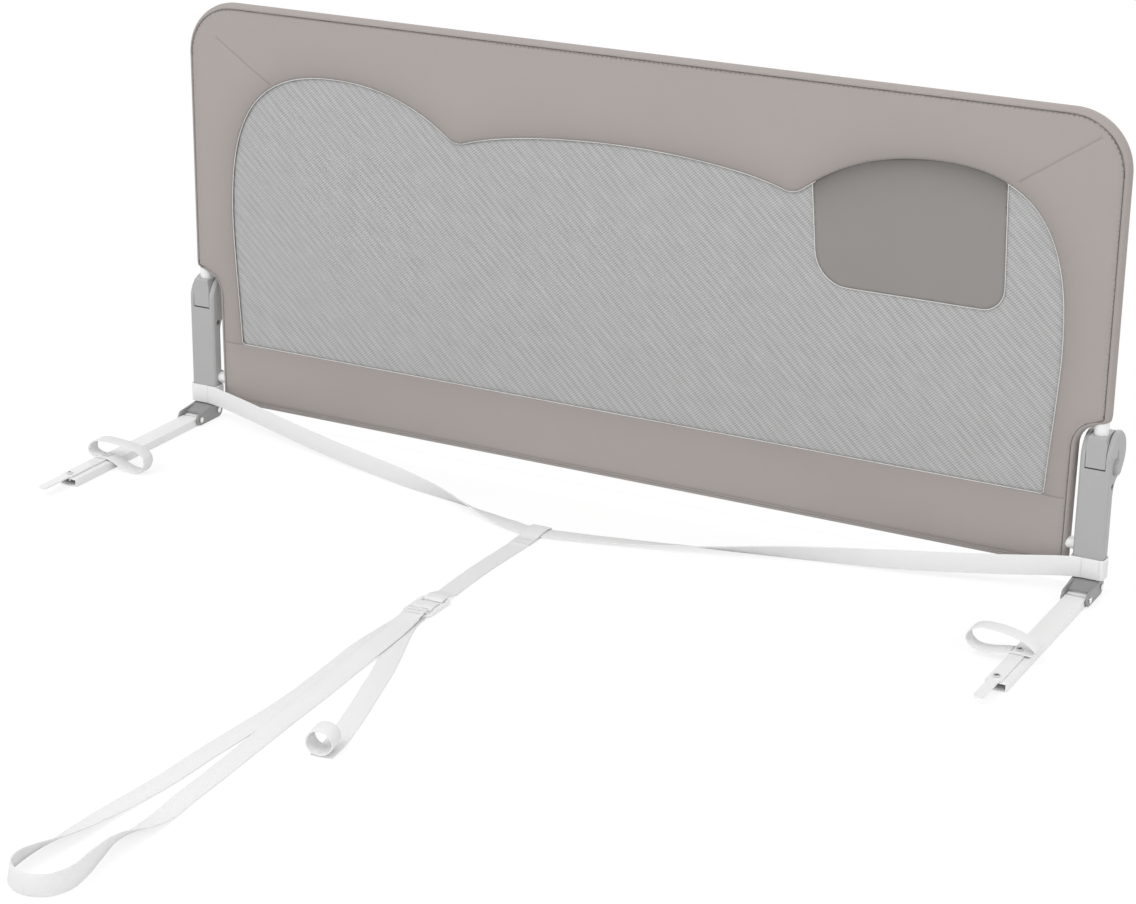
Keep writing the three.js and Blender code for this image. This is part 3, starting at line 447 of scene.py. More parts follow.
# %% Bands, ties and ring
POST_X = 495
POST_SIZE = (30, 14)
POST_EDGE = 2
BAND_GAP = 0.9
BAND_MIDDLE = 26.8
BAND_STEP = 2
TIE_WIDTH = 0.016
TIE_DEPTH = -175
TIE_LIFT = 11.1
SCREW_X = {"left": -498.4, "right": 493}
RING_PLACE = (58.5, -627, 13.2)
RING_HALF = (11.5, 10.8)
RING_PLACES, RING_STEPS = 28, 3
RING_TURN = math.radians(11)
ring_turn = Matrix.Rotation(RING_TURN, 4, "Z")
TIE_PLACES = {
    "left": [
        (0, 0), (7, -0.1), (13.5, -1.6), (27, -7), (38, -9.4), (48.5, -8.2), (54.5, 0.5), (54, 8),
        (45, 14.5), (31.6, 16.8), (15.6, 18.2), (1, 18.3), (-9, 15.5), (-14.2, 9.5), (-14, 3.8),
        (-8, 0.3),
    ],
    "right": [
        (0, 0), (-7, -0.1), (-15.1, -1.3), (-30.6, -3.7), (-41.2, -2.2), (-47.4, 4), (-46.3, 10.5),
        (-41.5, 15.3), (-35.4, 17.7), (-27.2, 18.3), (-16.7, 17.8), (-6.2, 16), (4.5, 12.5),
        (13.2, 7.3), (16.5, 3.4), (14, 0.3), (7, 0),
    ],
}


def post_band(name, side):
    size = [length + 2 * BAND_GAP for length in POST_SIZE]
    middle = (side * POST_X, POST_SIZE[1] / 2)
    outline = evenly(rounded_rectangle(middle, size, POST_EDGE + BAND_GAP, steps=4), BAND_STEP)
    stations = []
    for (x, y), (nx, ny) in zip(outline, normals_of(outline)):
        stations.append((Vector(place(x, y, BAND_MIDDLE)), UP, Vector((nx, ny, 0))))
    return sweep(name, stations, web_section(), closed=True)


def tie_loop(name):
    from_screw = TIE_PLACES[name]
    places = [Vector(place(SCREW_X[name] + x, TIE_DEPTH, TIE_LIFT + z)) for x, z in from_screw]
    return closed_strap(f"{name}_arm_tie", places, TIE_WIDTH)


def sewn_ring():
    x, y, z = RING_PLACE
    places = []
    for k in range(RING_PLACES):
        angle = 2 * math.pi * k / RING_PLACES
        reach, rise = RING_HALF[0] * math.cos(angle), RING_HALF[1] * math.sin(angle)
        places.append(Vector(place(x + reach, y, z + rise)))
    made = closed_strap("tail_ring_webbing", places, WEB_WIDTH, RING_STEPS)
    shift = Matrix.Translation(place(*RING_PLACE))
    made.data.transform(shift @ ring_turn @ shift.inverted())
    return made


bands = {name: post_band(f"{name}_post_webbing", side) for name, side in SIDES.items()}
ties = {name: tie_loop(name) for name in SIDES}
ring = sewn_ring()
print("bands", sorted(bands), "ties", sorted(ties))

# %% [markdown]
# Where webbing is sewn to webbing, a machine lays a bar tack: a dense zigzag of thread
# across the strap. Each one is a real thread here, a thin round section swept along the
# zigzag, just above the webbing that it holds.

# %% Bar tacks
TACK_THREAD = 0.15
TACK_PITCH = 0.8
TACK_WIDTH = 1.8
TACK_SUNK = 0.3
STRAP_TACKS = (("centre", 0.385, 1), ("centre", 0.425, 2), ("loop", 0.973, 1), ("loop", 0.986, 2))
RING_TACK_SHIFT, RING_TACK_HALF = 6, 3
TIE_TACK_SHIFT, TIE_TACK_HALF = 6.5, 6


def round_section(radius, sides=8):
    angles = [2 * math.pi * k / sides for k in range(sides)]
    return [(radius * math.cos(a), radius * math.sin(a)) for a in angles]


def bar_tack(name, at, across, up, half=8):
    """A zigzag across a strap: half its length in mm, at a point on the webbing's face."""
    along = up.cross(across).normalized()
    count = int(2 * half / TACK_PITCH)
    stations = []
    for k in range(count + 1):
        far = (k / count * 2 - 1) * half * MM
        swing = (k % 2 - 0.5) * TACK_WIDTH * MM
        stations.append((at + across * far + along * swing, across, up))
    return sweep(name, stations, round_section(TACK_THREAD * MM, 6))


def tack_on(strap_name, share, number):
    """A bar tack on the upper face of a strap, at a share of its route."""
    stations = straps[strap_name][1]
    at, across, other = stations[int(share * (len(stations) - 1))]
    up = other if other.z > 0 else -other
    lift = WEB_THICKNESS / 2 + TACK_SUNK * TACK_THREAD * MM
    return bar_tack(f"{strap_name}_tack_{number}", at + up * lift, across, up)


frame_tacks = [tack_on(*where) for where in STRAP_TACKS]
face_lift = WEB_THICKNESS / 2 / MM + TACK_THREAD / 2
low = Vector(place(*RING_PLACE[:2], RING_PLACE[2] - RING_HALF[1] + face_lift))
for number, way in enumerate((-1, 1), 1):
    at = low + ring_turn @ AWAY * way * RING_TACK_SHIFT * MM
    tack = bar_tack(f"ring_tack_{number}", at, ring_turn @ RIGHT, UP, RING_TACK_HALF)
    frame_tacks.append(tack)
tie_tacks = {}
for name, side in SIDES.items():
    at = Vector(place(SCREW_X[name] - side * TIE_TACK_SHIFT, TIE_DEPTH, TIE_LIFT + face_lift))
    tie_tacks[name] = bar_tack(f"{name}_tie_tack", at, AWAY, UP, TIE_TACK_HALF)
print("bar tacks", len(frame_tacks) + len(tie_tacks))

# %% [markdown]
# Each release button is pushed out by a small steel coil. It gets shorter as the button
# goes in, so the coil is given its own mesh.

# %% Button springs
SPRING_START, SPRING_END = 506.8, 512
SPRING_PLACE = (15.5, 124.5)
SPRING_RADIUS, SPRING_WIRE = 4.4, 0.8
SPRING_TURNS = 3.5
SPRING_STEPS = 16


def coil_spring(name, side):
    count = int(SPRING_TURNS * SPRING_STEPS)
    y, z = SPRING_PLACE
    stations = []
    for k in range(count + 1):
        angle = 2 * math.pi * k / SPRING_STEPS
        outward = Vector((0, math.cos(angle), math.sin(angle)))
        far = SPRING_START + (SPRING_END - SPRING_START) * k / count
        at = Vector(place(side * far, y, z)) + outward * SPRING_RADIUS * MM
        stations.append((at, outward, RIGHT))
    return sweep(name, stations, round_section(SPRING_WIRE / 2 * MM))


springs = {name: coil_spring(f"{name}_button_coil", side) for name, side in SIDES.items()}
print("springs", sorted(springs))

# %% [markdown]
# ## The fabric cover
# The cover is one sewn sleeve: a front and a back panel, joined round the edge by a strip
# of the same cloth with a corded seam on each side of it. It is built the way it is sewn.
# The outline below is the pattern, in millimetres, with a notch for each hinge.

# %% Cover pattern
COVER_HALF = 503.2
COVER_TOP = 454.6
COVER_BOTTOM = 20
COVER_CORNER = 55
COVER_HEM = 6
NOTCH_EDGE = 472.8
HINGE_HEIGHT = 134
ROOF_RISE = 27.5
SIDE_SHARES = (
    ((0.034, 0.327),),
    ((0.05, 0.62), (0.2, 0.95), (0.5, 1.04)),
    ((0.7, 1.1), (0.865, 1.171)),
    ((1, 1.236), (1, 1.4)),
)
WINDOW_HALF = 454.8
WINDOW_LOW = 89
WINDOW_HIGH = 391
WINDOW_SHARES = (
    ((0, 0), (0.983, 0)),
    ((0.987, 0.136), (0.997, 0.3), (1, 0.434)),
    ((1.003, 0.748), (0.967, 1), (0.719, 1)),
    ((0.594, 1), (0.5, 0.945), (0.42, 0.852)),
    ((0.412, 0.843), (0.398, 0.838), (0.385, 0.843)),
    ((0.3, 0.888), (0.14, 0.912), (0, 0.912)),
)


def in_room(rows, low, size):
    """Rows of shares as places in a rectangle, from its low corner and its size."""
    return [[(low[0] + u * size[0], low[1] + v * size[1]) for u, v in row] for row in rows]


def chained(rows):
    """Bezier curves end to end: each row's controls follow on the last row's end."""
    runs = [rows[0]]
    for before, row in zip(rows, rows[1:]):
        runs.append(bezier(before[-1], *row))
    return np.vstack(runs)


def right_half_of_cover():
    hem_x, hem_z = NOTCH_EDGE - COVER_HEM, COVER_BOTTOM + COVER_HEM
    corner_x, corner_z = COVER_HALF - COVER_CORNER, COVER_TOP - COVER_CORNER
    notch = in_room(SIDE_SHARES, (NOTCH_EDGE, HINGE_HEIGHT), (COVER_HALF - NOTCH_EDGE, ROOF_RISE))
    return joined(
        (0, COVER_BOTTOM),
        arc(hem_x, hem_z, COVER_HEM, -QUARTER, 0, 8),
        chained(notch),
        arc(corner_x, corner_z, COVER_CORNER, 0, QUARTER, 40),
        (0, COVER_TOP),
        closed=False,
    )


def mirrored(half):
    """The right half and its mirror image as one closed path, anticlockwise."""
    left = half[::-1] * [-1, 1]
    return joined(half, left)


def right_half_of_window():
    room = (WINDOW_HALF, WINDOW_HIGH - WINDOW_LOW)
    return joined(chained(in_room(WINDOW_SHARES, (0, WINDOW_LOW), room)), closed=False)


CLOTH_STEP = 5.0
FINE_STEP = 4.0
cover_path = evenly(mirrored(right_half_of_cover()), CLOTH_STEP)
window_path = evenly(mirrored(right_half_of_window()), FINE_STEP)
print("cover edge", len(cover_path), "points; window edge", len(window_path), "points")

# %% [markdown]
# ## Cutting the panels
# A panel is filled with triangles by a constrained triangulation. The edges and the seam
# lines are kept, and each of them gets a few rows of points beside it, because the cloth
# bends most there. Between them the points are laid out as a triangular grid.

# %% Cut a panel
SEAM_ROWS = (1.2, 3)
SEAM_STEP = 2.5
SEAM_ROOM = 1
ROW_ROOM = 0.9
HOLE_ROOM = 1.5
GRID_ROOM = 0.6
SAME_CORNER = 1e-4


def rows_beside(path, distances):
    """Rows of points beside a closed path: inside it, or outside for a negative distance."""
    rows = []
    for far in distances:
        row = evenly(moved_out(path, -far), CLOTH_STEP)
        rows.append(row[distance_to(row, path) > ROW_ROOM * abs(far)])
    return rows


def seam_rows(seam):
    """A straight seam and the rows of points on both sides of it."""
    line = evenly(np.array(seam, float), SEAM_STEP, closed=False)
    way = (line[-1] - line[0]) / np.linalg.norm(line[-1] - line[0])
    normal = np.array([way[1], -way[0]])
    return [line] + [line + normal * far * side for far in SEAM_ROWS for side in (1, -1)]


def grid_points(low, high, step):
    rows = np.arange(low[1], high[1], step * math.sqrt(3) / 2)
    grid = []
    for k, z in enumerate(rows):
        xs = np.arange(low[0] + (k % 2) * step / 2, high[0], step)
        grid.append(np.stack([xs, np.full(len(xs), z)], axis=1))
    return np.vstack(grid)


def cut_panel(rim, rim_rows=(), hole=None, hole_rows=(), seams=(), step=CLOTH_STEP):
    """Points and triangles of the cloth within rim, without the hole, in pattern millimetres."""
    fixed, edges = [], []
    loose = rows_beside(rim, rim_rows)
    for path in [rim] + ([hole] if hole is not None else []):
        first = len(fixed)
        fixed += [tuple(p) for p in path]
        edges += [(first + k, first + (k + 1) % len(path)) for k in range(len(path))]
    if hole is not None:
        room = max(rim_rows, default=0) + HOLE_ROOM
        beside_hole = rows_beside(hole, [-far for far in hole_rows])
        loose += [row[distance_to(row, rim) > room] for row in beside_hole]
    loose = [row[clear_of(row, seams, SEAM_ROWS[-1] + SEAM_ROOM)] for row in loose]
    for seam in seams:
        line, *beside = (row[within(row, rim, hole, SEAM_ROOM)] for row in seam_rows(seam))
        first = len(fixed)
        fixed += [tuple(p) for p in line]
        edges += [(k, k + 1) for k in range(first, len(fixed) - 1)]
        loose += beside
    grid = grid_points(rim.min(axis=0), rim.max(axis=0), step)
    grid = grid[within(grid, rim, None, max(rim_rows, default=0) + GRID_ROOM * step)]
    if hole is not None:
        grid = grid[within(grid, rim, hole, max(hole_rows, default=0) + GRID_ROOM * step)]
    loose.append(grid[clear_of(grid, seams, SEAM_ROWS[-1] + GRID_ROOM * step)])
    points = fixed + [tuple(p) for row in loose for p in row]
    made = geometry.delaunay_2d_cdt([Vector(p) for p in points], edges, [], 0, SAME_CORNER)
    flat = np.array([tuple(v) for v in made[0]])
    triangles = np.array(made[2])
    middles = flat[triangles].mean(axis=1)
    triangles = triangles[within(middles, rim, hole, 0)]
    a, b, c = (flat[triangles[:, k]] for k in range(3))
    clockwise = np.cross(b - a, c - a) < 0
    triangles[clockwise] = triangles[clockwise][:, ::-1]
    return flat, triangles


def within(points, rim, hole, gap):
    """Which points lie in the cloth, at least gap away from its edges."""
    kept = inside(points, rim)
    if gap:
        kept &= distance_to(points, rim) > gap
    if hole is not None:
        kept &= ~inside(points, hole)
        if gap:
            kept &= distance_to(points, hole) > gap
    return kept


def clear_of(points, seams, gap):
    kept = np.ones(len(points), bool)
    for seam in seams:
        kept &= distance_to(points, np.array(seam, float), closed=False) > gap
    return kept


RIPPLE_WAVES = ((1.9, 0.7, 1, 1), (-2.7, 1.1, 2, 1), (1.3, 3.7, 3, 0.7))


def ripple(flat, size, length, phase):
    """A slow unevenness of cloth under light tension, the same in each run."""
    x, z = flat[:, 0] / length, flat[:, 1] / length
    waves, most = 0, 0
    for along_x, along_z, turn, share in RIPPLE_WAVES:
        waves += share * np.sin(along_x * x + along_z * z + turn * phase)
        most += share
    return size * waves / most


def both_faces(depth):
    """The name, the depth and the facing of a layer in front and of its twin at the back."""
    return (("front", depth, 1), ("back", 2 * MIDDLE_DEPTH - depth, -1))


# %% [markdown]
# The cloth is not flat. It is held out by the tube near the edge, dips into each seam, and
# turns in towards the net at the window. Those distances give each point its depth. They
# also give each point a painted shade, where shade falls: the colour is darker in each
# seam, by the corded rim and along the window's edge.

# %% Shape the cover
MIDDLE_DEPTH = 12
SEAM_INSET = 4.6
SEAM_DEPTH = 4.1
PANEL_DEPTH = 2.7
RIM_ROWS = (1.4, 3, 5.2, 8.2)
WINDOW_ROWS = (1.6, 3.6, 6.4, 10)
WINDOW_DIP = 2.2
WINDOW_DIP_REACH = 9
GROOVE = 0.6
GROOVE_HALF = 1.4
# Painted shade in the colour: darker along the window's edge, by the corded rim and in each seam.
WINDOW_EDGE_PAINTED_SHADE = 0.15
WINDOW_SHADE_REACH = 13
SEAM_PAINTED_SHADE = 0.2
RIM_PAINTED_SHADE = 0.09
RIM_REACH = 3.5
SEAM_REACH = 3
COVER_RIPPLE = {"size": 0.3, "length": 38, "phase": 0.4}
RIPPLE_START = 12
CLOTH_THICKNESS = 0.8
SEAMS = (
    ((-464, 417), (-405, 378)),
    ((474, 430.5), (405, 383.5)),
    ((-472, WINDOW_LOW), (-447, WINDOW_LOW)),
    ((472, WINDOW_LOW), (447, WINDOW_LOW)),
    ((-466, 27), (466, 27)),
)
seam_path = moved_out(cover_path, -SEAM_INSET)
flat, triangles = cut_panel(seam_path, RIM_ROWS, window_path, WINDOW_ROWS, SEAMS)
from_edge = distance_to(flat, seam_path)
from_window = distance_to(flat, window_path)
depth = PANEL_DEPTH + (SEAM_DEPTH - PANEL_DEPTH) * np.exp(-from_edge / SEAM_REACH)
depth += WINDOW_DIP * np.exp(-from_window / WINDOW_DIP_REACH)
depth += ripple(flat, **COVER_RIPPLE) * np.clip(from_edge / RIPPLE_START, 0, 1)
# Painted shade, kept as a darkening of the colour: along the window's edge, by the corded rim and in
# each seam's groove.
shade = WINDOW_EDGE_PAINTED_SHADE * np.exp(-from_window / WINDOW_SHADE_REACH)
shade += RIM_PAINTED_SHADE * np.exp(-from_edge / RIM_REACH)
for seam in SEAMS:
    from_seam = distance_to(flat, np.array(seam, float), closed=False)
    depth += GROOVE * np.clip(1 - from_seam / GROOVE_HALF, 0, 1)
    shade += SEAM_PAINTED_SHADE * np.clip(1 - from_seam / SEAM_ROWS[0], 0, 1)
depth[from_edge < SAME_PLACE] = SEAM_DEPTH

GUSSET_SECTION = [(-4.6, 4.1), (-3.2, 4.6), (-2, 5.8), (-1, 7.3), (-0.3, 9.4), (0, 12)]
GUSSET_SECTION += [(n, 2 * MIDDLE_DEPTH - y) for n, y in GUSSET_SECTION[-2::-1]]


def sew_cover():
    points, cloth_map, faces, painted_darkening = [], [], [], []
    for side in (1, -1):
        first = len(points)
        for (x, z), y in zip(flat, depth):
            far = y if side > 0 else 2 * MIDDLE_DEPTH - y
            points.append(place(x, far, z))
            cloth_map.append((x * MM, z * MM))
        painted_darkening.extend(shade)
        faces += as_faces(triangles + first, side)
    first = len(points)
    normals = normals_of(cover_path)
    steps = np.linalg.norm(np.roll(cover_path, -1, axis=0) - cover_path, axis=1)
    travelled = np.concatenate([[0], np.cumsum(steps)[:-1]])
    for (x, z), (nx, nz), along in zip(cover_path, normals, travelled):
        for out, y in GUSSET_SECTION:
            points.append(place(x + nx * out, y, z + nz * out))
            cloth_map.append((along * MM, y * MM))
            painted_darkening.append(0)
    rows, count = len(cover_path), len(GUSSET_SECTION)
    for i in range(rows):
        near, far = first + i * count, first + ((i + 1) % rows) * count
        for j in range(count - 1):
            faces.append((near + j, far + j, far + j + 1, near + j + 1))
    cover = new_piece("fabric_cover", points, faces, cloth_map)
    store_painted_shade(cover, painted_darkening)
    join_seams(cover)
    return cover


def join_seams(piece, reach=2e-6):
    work = bmesh.new()
    work.from_mesh(piece.data)
    bmesh.ops.remove_doubles(work, verts=work.verts, dist=reach)
    work.to_mesh(piece.data)
    work.free()


cover = sew_cover()
clothed(cover, CLOTH_THICKNESS)
print("cover", len(cover.data.vertices), "points", len(cover.data.polygons), "faces")

# %% [markdown]
# ## Corded seams, net and pocket
# A cord is sewn into each edge seam, which shows as a fine raised line all round. The net
# is sewn behind the window's edge, front and back, and its cut edge shows as a thin light
# line. A plain pocket of a darker cloth hangs on the front net under the right lobe.

# %% Corded seams
CORD_RADIUS = 0.9
CORD_INSET = 3.4
CORD_DEPTH = 4.6


def corded(name, path, depths, radius):
    stations = []
    for (x, z), (nx, nz), y in zip(path, normals_of(path), depths):
        stations.append((Vector(place(x, y, z)), Vector((nx, 0, nz)), -AWAY))
    return sweep(name, stations, round_section(radius * MM), closed=True)


piping_path = moved_out(cover_path, -CORD_INSET)
pipings = []
for name, y, side in both_faces(CORD_DEPTH):
    pipings.append(corded(f"{name}_piping", piping_path, [y] * len(piping_path), CORD_RADIUS))

# %% Net sheets
NET_DEPTH = 6.9
NET_THICKNESS = 0.4
NET_MARGIN = 6
NET_STEP = 9.0
NET_RIM_STEP = 6.0
NET_SLACK = 0.5
NET_WAVE = 90
NET_PHASE = 1.7
NET_HELD = 60
net_path = evenly(moved_out(window_path, NET_MARGIN), NET_RIM_STEP)
net_flat, net_triangles = cut_panel(net_path, step=NET_STEP)
from_rim = distance_to(net_flat, net_path)


def cut_area(path):
    """The flat area inside a closed path, in square metres."""
    following = np.roll(path, -1, axis=0)
    twice = np.sum(path[:, 0] * following[:, 1] - path[:, 1] * following[:, 0])
    return abs(twice) / 2 * MM * MM


nets = []
for name, middle, side in both_faces(NET_DEPTH):
    slack = ripple(net_flat, NET_SLACK, NET_WAVE, NET_PHASE * side)
    slack *= np.clip(from_rim / NET_HELD, 0, 1)
    points = [place(x, middle + s, z) for (x, z), s in zip(net_flat, slack)]
    net = new_piece(f"{name}_net", points, as_faces(net_triangles, side), net_flat * MM)
    clothed(net, NET_THICKNESS)
    nets.append(net)
print("net area", round(cut_area(net_path), 4), "m2")

# %% Pocket
POCKET_LEFT, POCKET_RIGHT = 204.5, 393.5
POCKET_LOW, POCKET_HIGH = 257.5, 400
POCKET_LEANS = (12, 5)
POCKET_CORNERS = (31, 22)
POCKET_TOP = ((POCKET_RIGHT, POCKET_HIGH), (300, 410), (POCKET_LEFT, 374))
POCKET_DEPTH = 6.0
POCKET_THICKNESS = 0.5
POCKET_ROWS = (1.5, 3.5)
POCKET_STEP = 6.0
POCKET_BULGE, BULGE_REACH = 0.7, 22
POCKET_RIPPLE = {"size": 0.25, "length": 30, "phase": 2.2}
POCKET_HELD = 10
POCKET_SHADE = 0.11
LOBE_PAINTED_SHADOW = 0.5
LOBE_REACH = 12


def pocket_path():
    left_round, right_round = POCKET_CORNERS
    path = joined(
        arc(POCKET_RIGHT - right_round, POCKET_LOW + right_round, right_round, -QUARTER, 0, 12),
        POCKET_TOP[0],
        bezier(*POCKET_TOP),
        arc(POCKET_LEFT + left_round, POCKET_LOW + left_round, left_round, 2 * QUARTER, 3 * QUARTER, 12),
    )
    across = (path[:, 0] - POCKET_LEFT) / (POCKET_RIGHT - POCKET_LEFT)
    down = (POCKET_HIGH - path[:, 1]) / (POCKET_HIGH - POCKET_LOW) - 0.5
    path[:, 0] += down * (POCKET_LEANS[0] * (1 - across) + POCKET_LEANS[1] * across)
    return path


pocket_rim = evenly(pocket_path(), FINE_STEP)
pocket_flat, pocket_triangles = cut_panel(pocket_rim, POCKET_ROWS, step=POCKET_STEP)
from_rim = distance_to(pocket_flat, pocket_rim)
bulge = POCKET_BULGE * (1 - np.exp(-from_rim / BULGE_REACH)) + ripple(pocket_flat, **POCKET_RIPPLE)
bulge *= np.clip(from_rim / POCKET_HELD, 0, 1)
points = [place(x, POCKET_DEPTH - b, z) for (x, z), b in zip(pocket_flat, bulge)]
pocket = new_piece("front_pocket", points, as_faces(pocket_triangles), pocket_flat * MM)
# Painted shadow of the cover's lobe over the pocket's top; the pocket is also a little darker along its
# rim.
pocket_shade = LOBE_PAINTED_SHADOW * np.exp(-distance_to(pocket_flat, window_path) / LOBE_REACH)
pocket_shade += POCKET_SHADE * np.clip(1 - from_rim / POCKET_ROWS[-1], 0, 1)
store_painted_shade(pocket, pocket_shade)
clothed(pocket, POCKET_THICKNESS)

# %% Cut edges of the net
EDGE_THREAD = 0.5
THREAD_INSET = 0.5
THREAD_DEPTH = 5.3
POCKET_THREAD_OUT = 0.6
thread_path = evenly(moved_out(window_path, -THREAD_INSET), FINE_STEP)
behind_pocket = thread_path[:, 1] > POCKET_LOW
for edge, way in ((POCKET_LEFT, 1), (POCKET_RIGHT, -1)):
    behind_pocket &= (thread_path[:, 0] - edge) * way > 0
edge_threads = []
for name, y, side in both_faces(THREAD_DEPTH):
    hidden = behind_pocket & (side > 0)
    depths = np.where(hidden, NET_DEPTH, y)
    edge_threads.append(corded(f"{name}_net_edge", thread_path, depths, EDGE_THREAD))
pocket_thread_path = evenly(moved_out(pocket_rim, POCKET_THREAD_OUT), FINE_STEP)
pocket_thread_depths = [POCKET_DEPTH] * len(pocket_thread_path)
pocket_thread = corded("pocket_edge", pocket_thread_path, pocket_thread_depths, EDGE_THREAD)

# %% [markdown]
# ## Finishes
# Every finish is made of nodes, so it keeps its real scale from any distance. Cloth is
# mapped in metres along its own threads. Colours are given as they are measured on a
# screen and turned into the linear values that the shader works with.

# %% Node helpers
def colour(red, green, blue):
    def linear(channel):
        c = channel / 255
        return c / 12.92 if c <= 0.04045 else ((c + 0.055) / 1.055) ** 2.4

    return (linear(red), linear(green), linear(blue), 1)


def node(tree, kind, inputs=None, **settings):
    made = tree.nodes.new(kind)
    for name, value in settings.items():
        setattr(made, name, value)
    feed(made, inputs or {})
    return made


def feed(shader, inputs):
    """Link each input to a socket, or set it to a value."""
    for name, value in inputs.items():
        if isinstance(value, bpy.types.NodeSocket):
            shader.id_data.links.new(value, shader.inputs[name])
        else:
            shader.inputs[name].default_value = value


def calc(tree, operation, *values, clamp=False):
    inputs = dict(enumerate(values))
    return node(tree, "ShaderNodeMath", inputs, operation=operation, use_clamp=clamp).outputs[0]


def start_finish(name, roughness, **others):
    material = bpy.data.materials.new(name)
    material.use_nodes = True
    tree = material.node_tree
    shader = tree.nodes["Principled BSDF"]
    feed(shader, {"Roughness": roughness, **others})
    return material, tree, shader


def cloth_axes(tree):
    """The cloth's own two directions, in metres."""
    cloth_uv = node(tree, "ShaderNodeUVMap", uv_map="cloth")
    axes = node(tree, "ShaderNodeSeparateXYZ", {0: cloth_uv.outputs["UV"]})
    return cloth_uv.outputs["UV"], axes.outputs["X"], axes.outputs["Y"]


def ribs(tree, along, pitch):
    """A wave from 0 to 1 with one crest each pitch."""
    wave = calc(tree, "SINE", calc(tree, "MULTIPLY", along, 2 * math.pi / pitch))
    return calc(tree, "MULTIPLY_ADD", wave, 0.5, 0.5)


def blend_colours(tree, share, low, high):
    mix = node(tree, "ShaderNodeMix", {0: share, 6: low, 7: high}, data_type="RGBA")
    return mix.outputs[2]


def noise_on(tree, vector, scale, detail=3.0):
    inputs = {"Vector": vector, "Scale": scale, "Detail": detail}
    return node(tree, "ShaderNodeTexNoise", inputs).outputs["Fac"]


def bump(tree, height, strength, distance):
    inputs = {"Strength": strength, "Distance": distance, "Height": height}
    return node(tree, "ShaderNodeBump", inputs).outputs["Normal"]


def tint(base, factor):
    return tuple(channel * factor for channel in base[:3]) + (1,)


def tones(tree, share, base, low, high):
    """The base colour made low to high times as bright."""
    return blend_colours(tree, share, tint(base, low), tint(base, high))


def object_place(tree):
    return node(tree, "ShaderNodeTexCoord").outputs["Object"]


# %% [markdown]
# The cover is a close plain weave of polyester with a dull face. The weave itself is too
# fine to see from here, but its bump softens the light, and slow changes of tone keep a
# large panel from looking like painted board.

# %% Woven cloth
# The near black towards which painted shade darkens the cloth's colour.
PAINTED_SHADE_TONE = 0.04


def woven_cloth(name, base, pitch=0.0007):
    sheen = {"Sheen Weight": 0.05, "Sheen Roughness": 0.45, "Specular IOR Level": 0.25}
    material, tree, shader = start_finish(name, 0.86, **sheen)
    uv, u, v = cloth_axes(tree)
    weave = calc(tree, "MULTIPLY", ribs(tree, u, pitch), ribs(tree, v, pitch))
    slow, fine = noise_on(tree, uv, 9.0), noise_on(tree, uv, 700.0)
    shade = calc(tree, "MULTIPLY_ADD", weave, 0.35, calc(tree, "MULTIPLY", slow, 0.5))
    shade = calc(tree, "MULTIPLY_ADD", fine, 0.3, shade)
    cloth = tones(tree, shade, base, 0.94, 1.06)
    # Painted shade from the sewn pieces darkens the colour: in seams, along the window's edge and at the
    # pocket's top.
    seam = node(tree, "ShaderNodeAttribute", attribute_name="painted_shade").outputs["Fac"]
    wear_and_painted_shade = blend_colours(tree, seam, cloth, tint(base, PAINTED_SHADE_TONE))
    relief = bump(tree, calc(tree, "ADD", weave, fine), 0.35, 0.0003)
    feed(shader, {"Base Color": wear_and_painted_shade, "Normal": relief})
    return material


cover_cloth = woven_cloth("cover_cloth", colour(165, 158, 155))
# The piping is the cover's cloth, in a darker copy that is painted shade in the seam's crease.
piping_in_shade_cloth = woven_cloth("piping_in_shade_cloth", colour(160, 154, 151))
pocket_cloth = woven_cloth("pocket_cloth", colour(143, 139, 136), pitch=0.0009)

# %% [markdown]
# The net is a fine polyester knit with ribs that run down across it at 45 degrees. The
# ribs are uneven: each is a streak that swells and fades. The holes are real, because the
# surface is see-through where the pattern says so. The back sheet's holes are turned by a
# few degrees, so that those of the two sheets don't line up in large blotches.

# %% Net
RIB_PITCH = 0.0069
MESH_PITCH = 0.0024
MESH_SLANTS = (56, -53)
HOLE_SIZE = 0.14
HOLE_CLEARNESS = 0.3
NET_DARK, NET_LIGHT = colour(153, 153, 153), colour(195, 195, 195)


def slanted(tree, u, v, degrees):
    """How far a spot lies along a direction at some degrees from the cloth's own width."""
    turn = math.radians(degrees)
    return calc(tree, "MULTIPLY_ADD", u, math.cos(turn), calc(tree, "MULTIPLY", v, math.sin(turn)))


def knitted_net(name, turn=0):
    material, tree, shader = start_finish(name, 0.8, **{"Specular IOR Level": 0.2})
    uv, u, v = cloth_axes(tree)
    across, along = slanted(tree, u, v, 45), slanted(tree, u, v, -45)
    drawn_out = calc(tree, "MULTIPLY", along, 0.16)
    spot = node(tree, "ShaderNodeCombineXYZ", {0: across, 1: drawn_out}).outputs[0]
    streak = noise_on(tree, spot, 230.0, 1.0)
    rows = [ribs(tree, slanted(tree, u, v, slant + turn), MESH_PITCH) for slant in MESH_SLANTS]
    knots = calc(tree, "MULTIPLY", *rows)
    shade = calc(tree, "MULTIPLY_ADD", ribs(tree, across, RIB_PITCH), 0.25, 0.06)
    shade = calc(tree, "MULTIPLY_ADD", knots, 0.25, shade)
    shade = calc(tree, "MULTIPLY_ADD", streak, 0.45, shade, clamp=True)
    hole = calc(tree, "LESS_THAN", knots, HOLE_SIZE * HOLE_SIZE)
    solid = calc(tree, "SUBTRACT", 1.0, calc(tree, "MULTIPLY", hole, HOLE_CLEARNESS))
    relief = bump(tree, knots, 0.25, 0.0004)
    yarn = blend_colours(tree, shade, NET_DARK, NET_LIGHT)
    feed(shader, {"Base Color": yarn, "Alpha": solid, "Normal": relief})
    return material


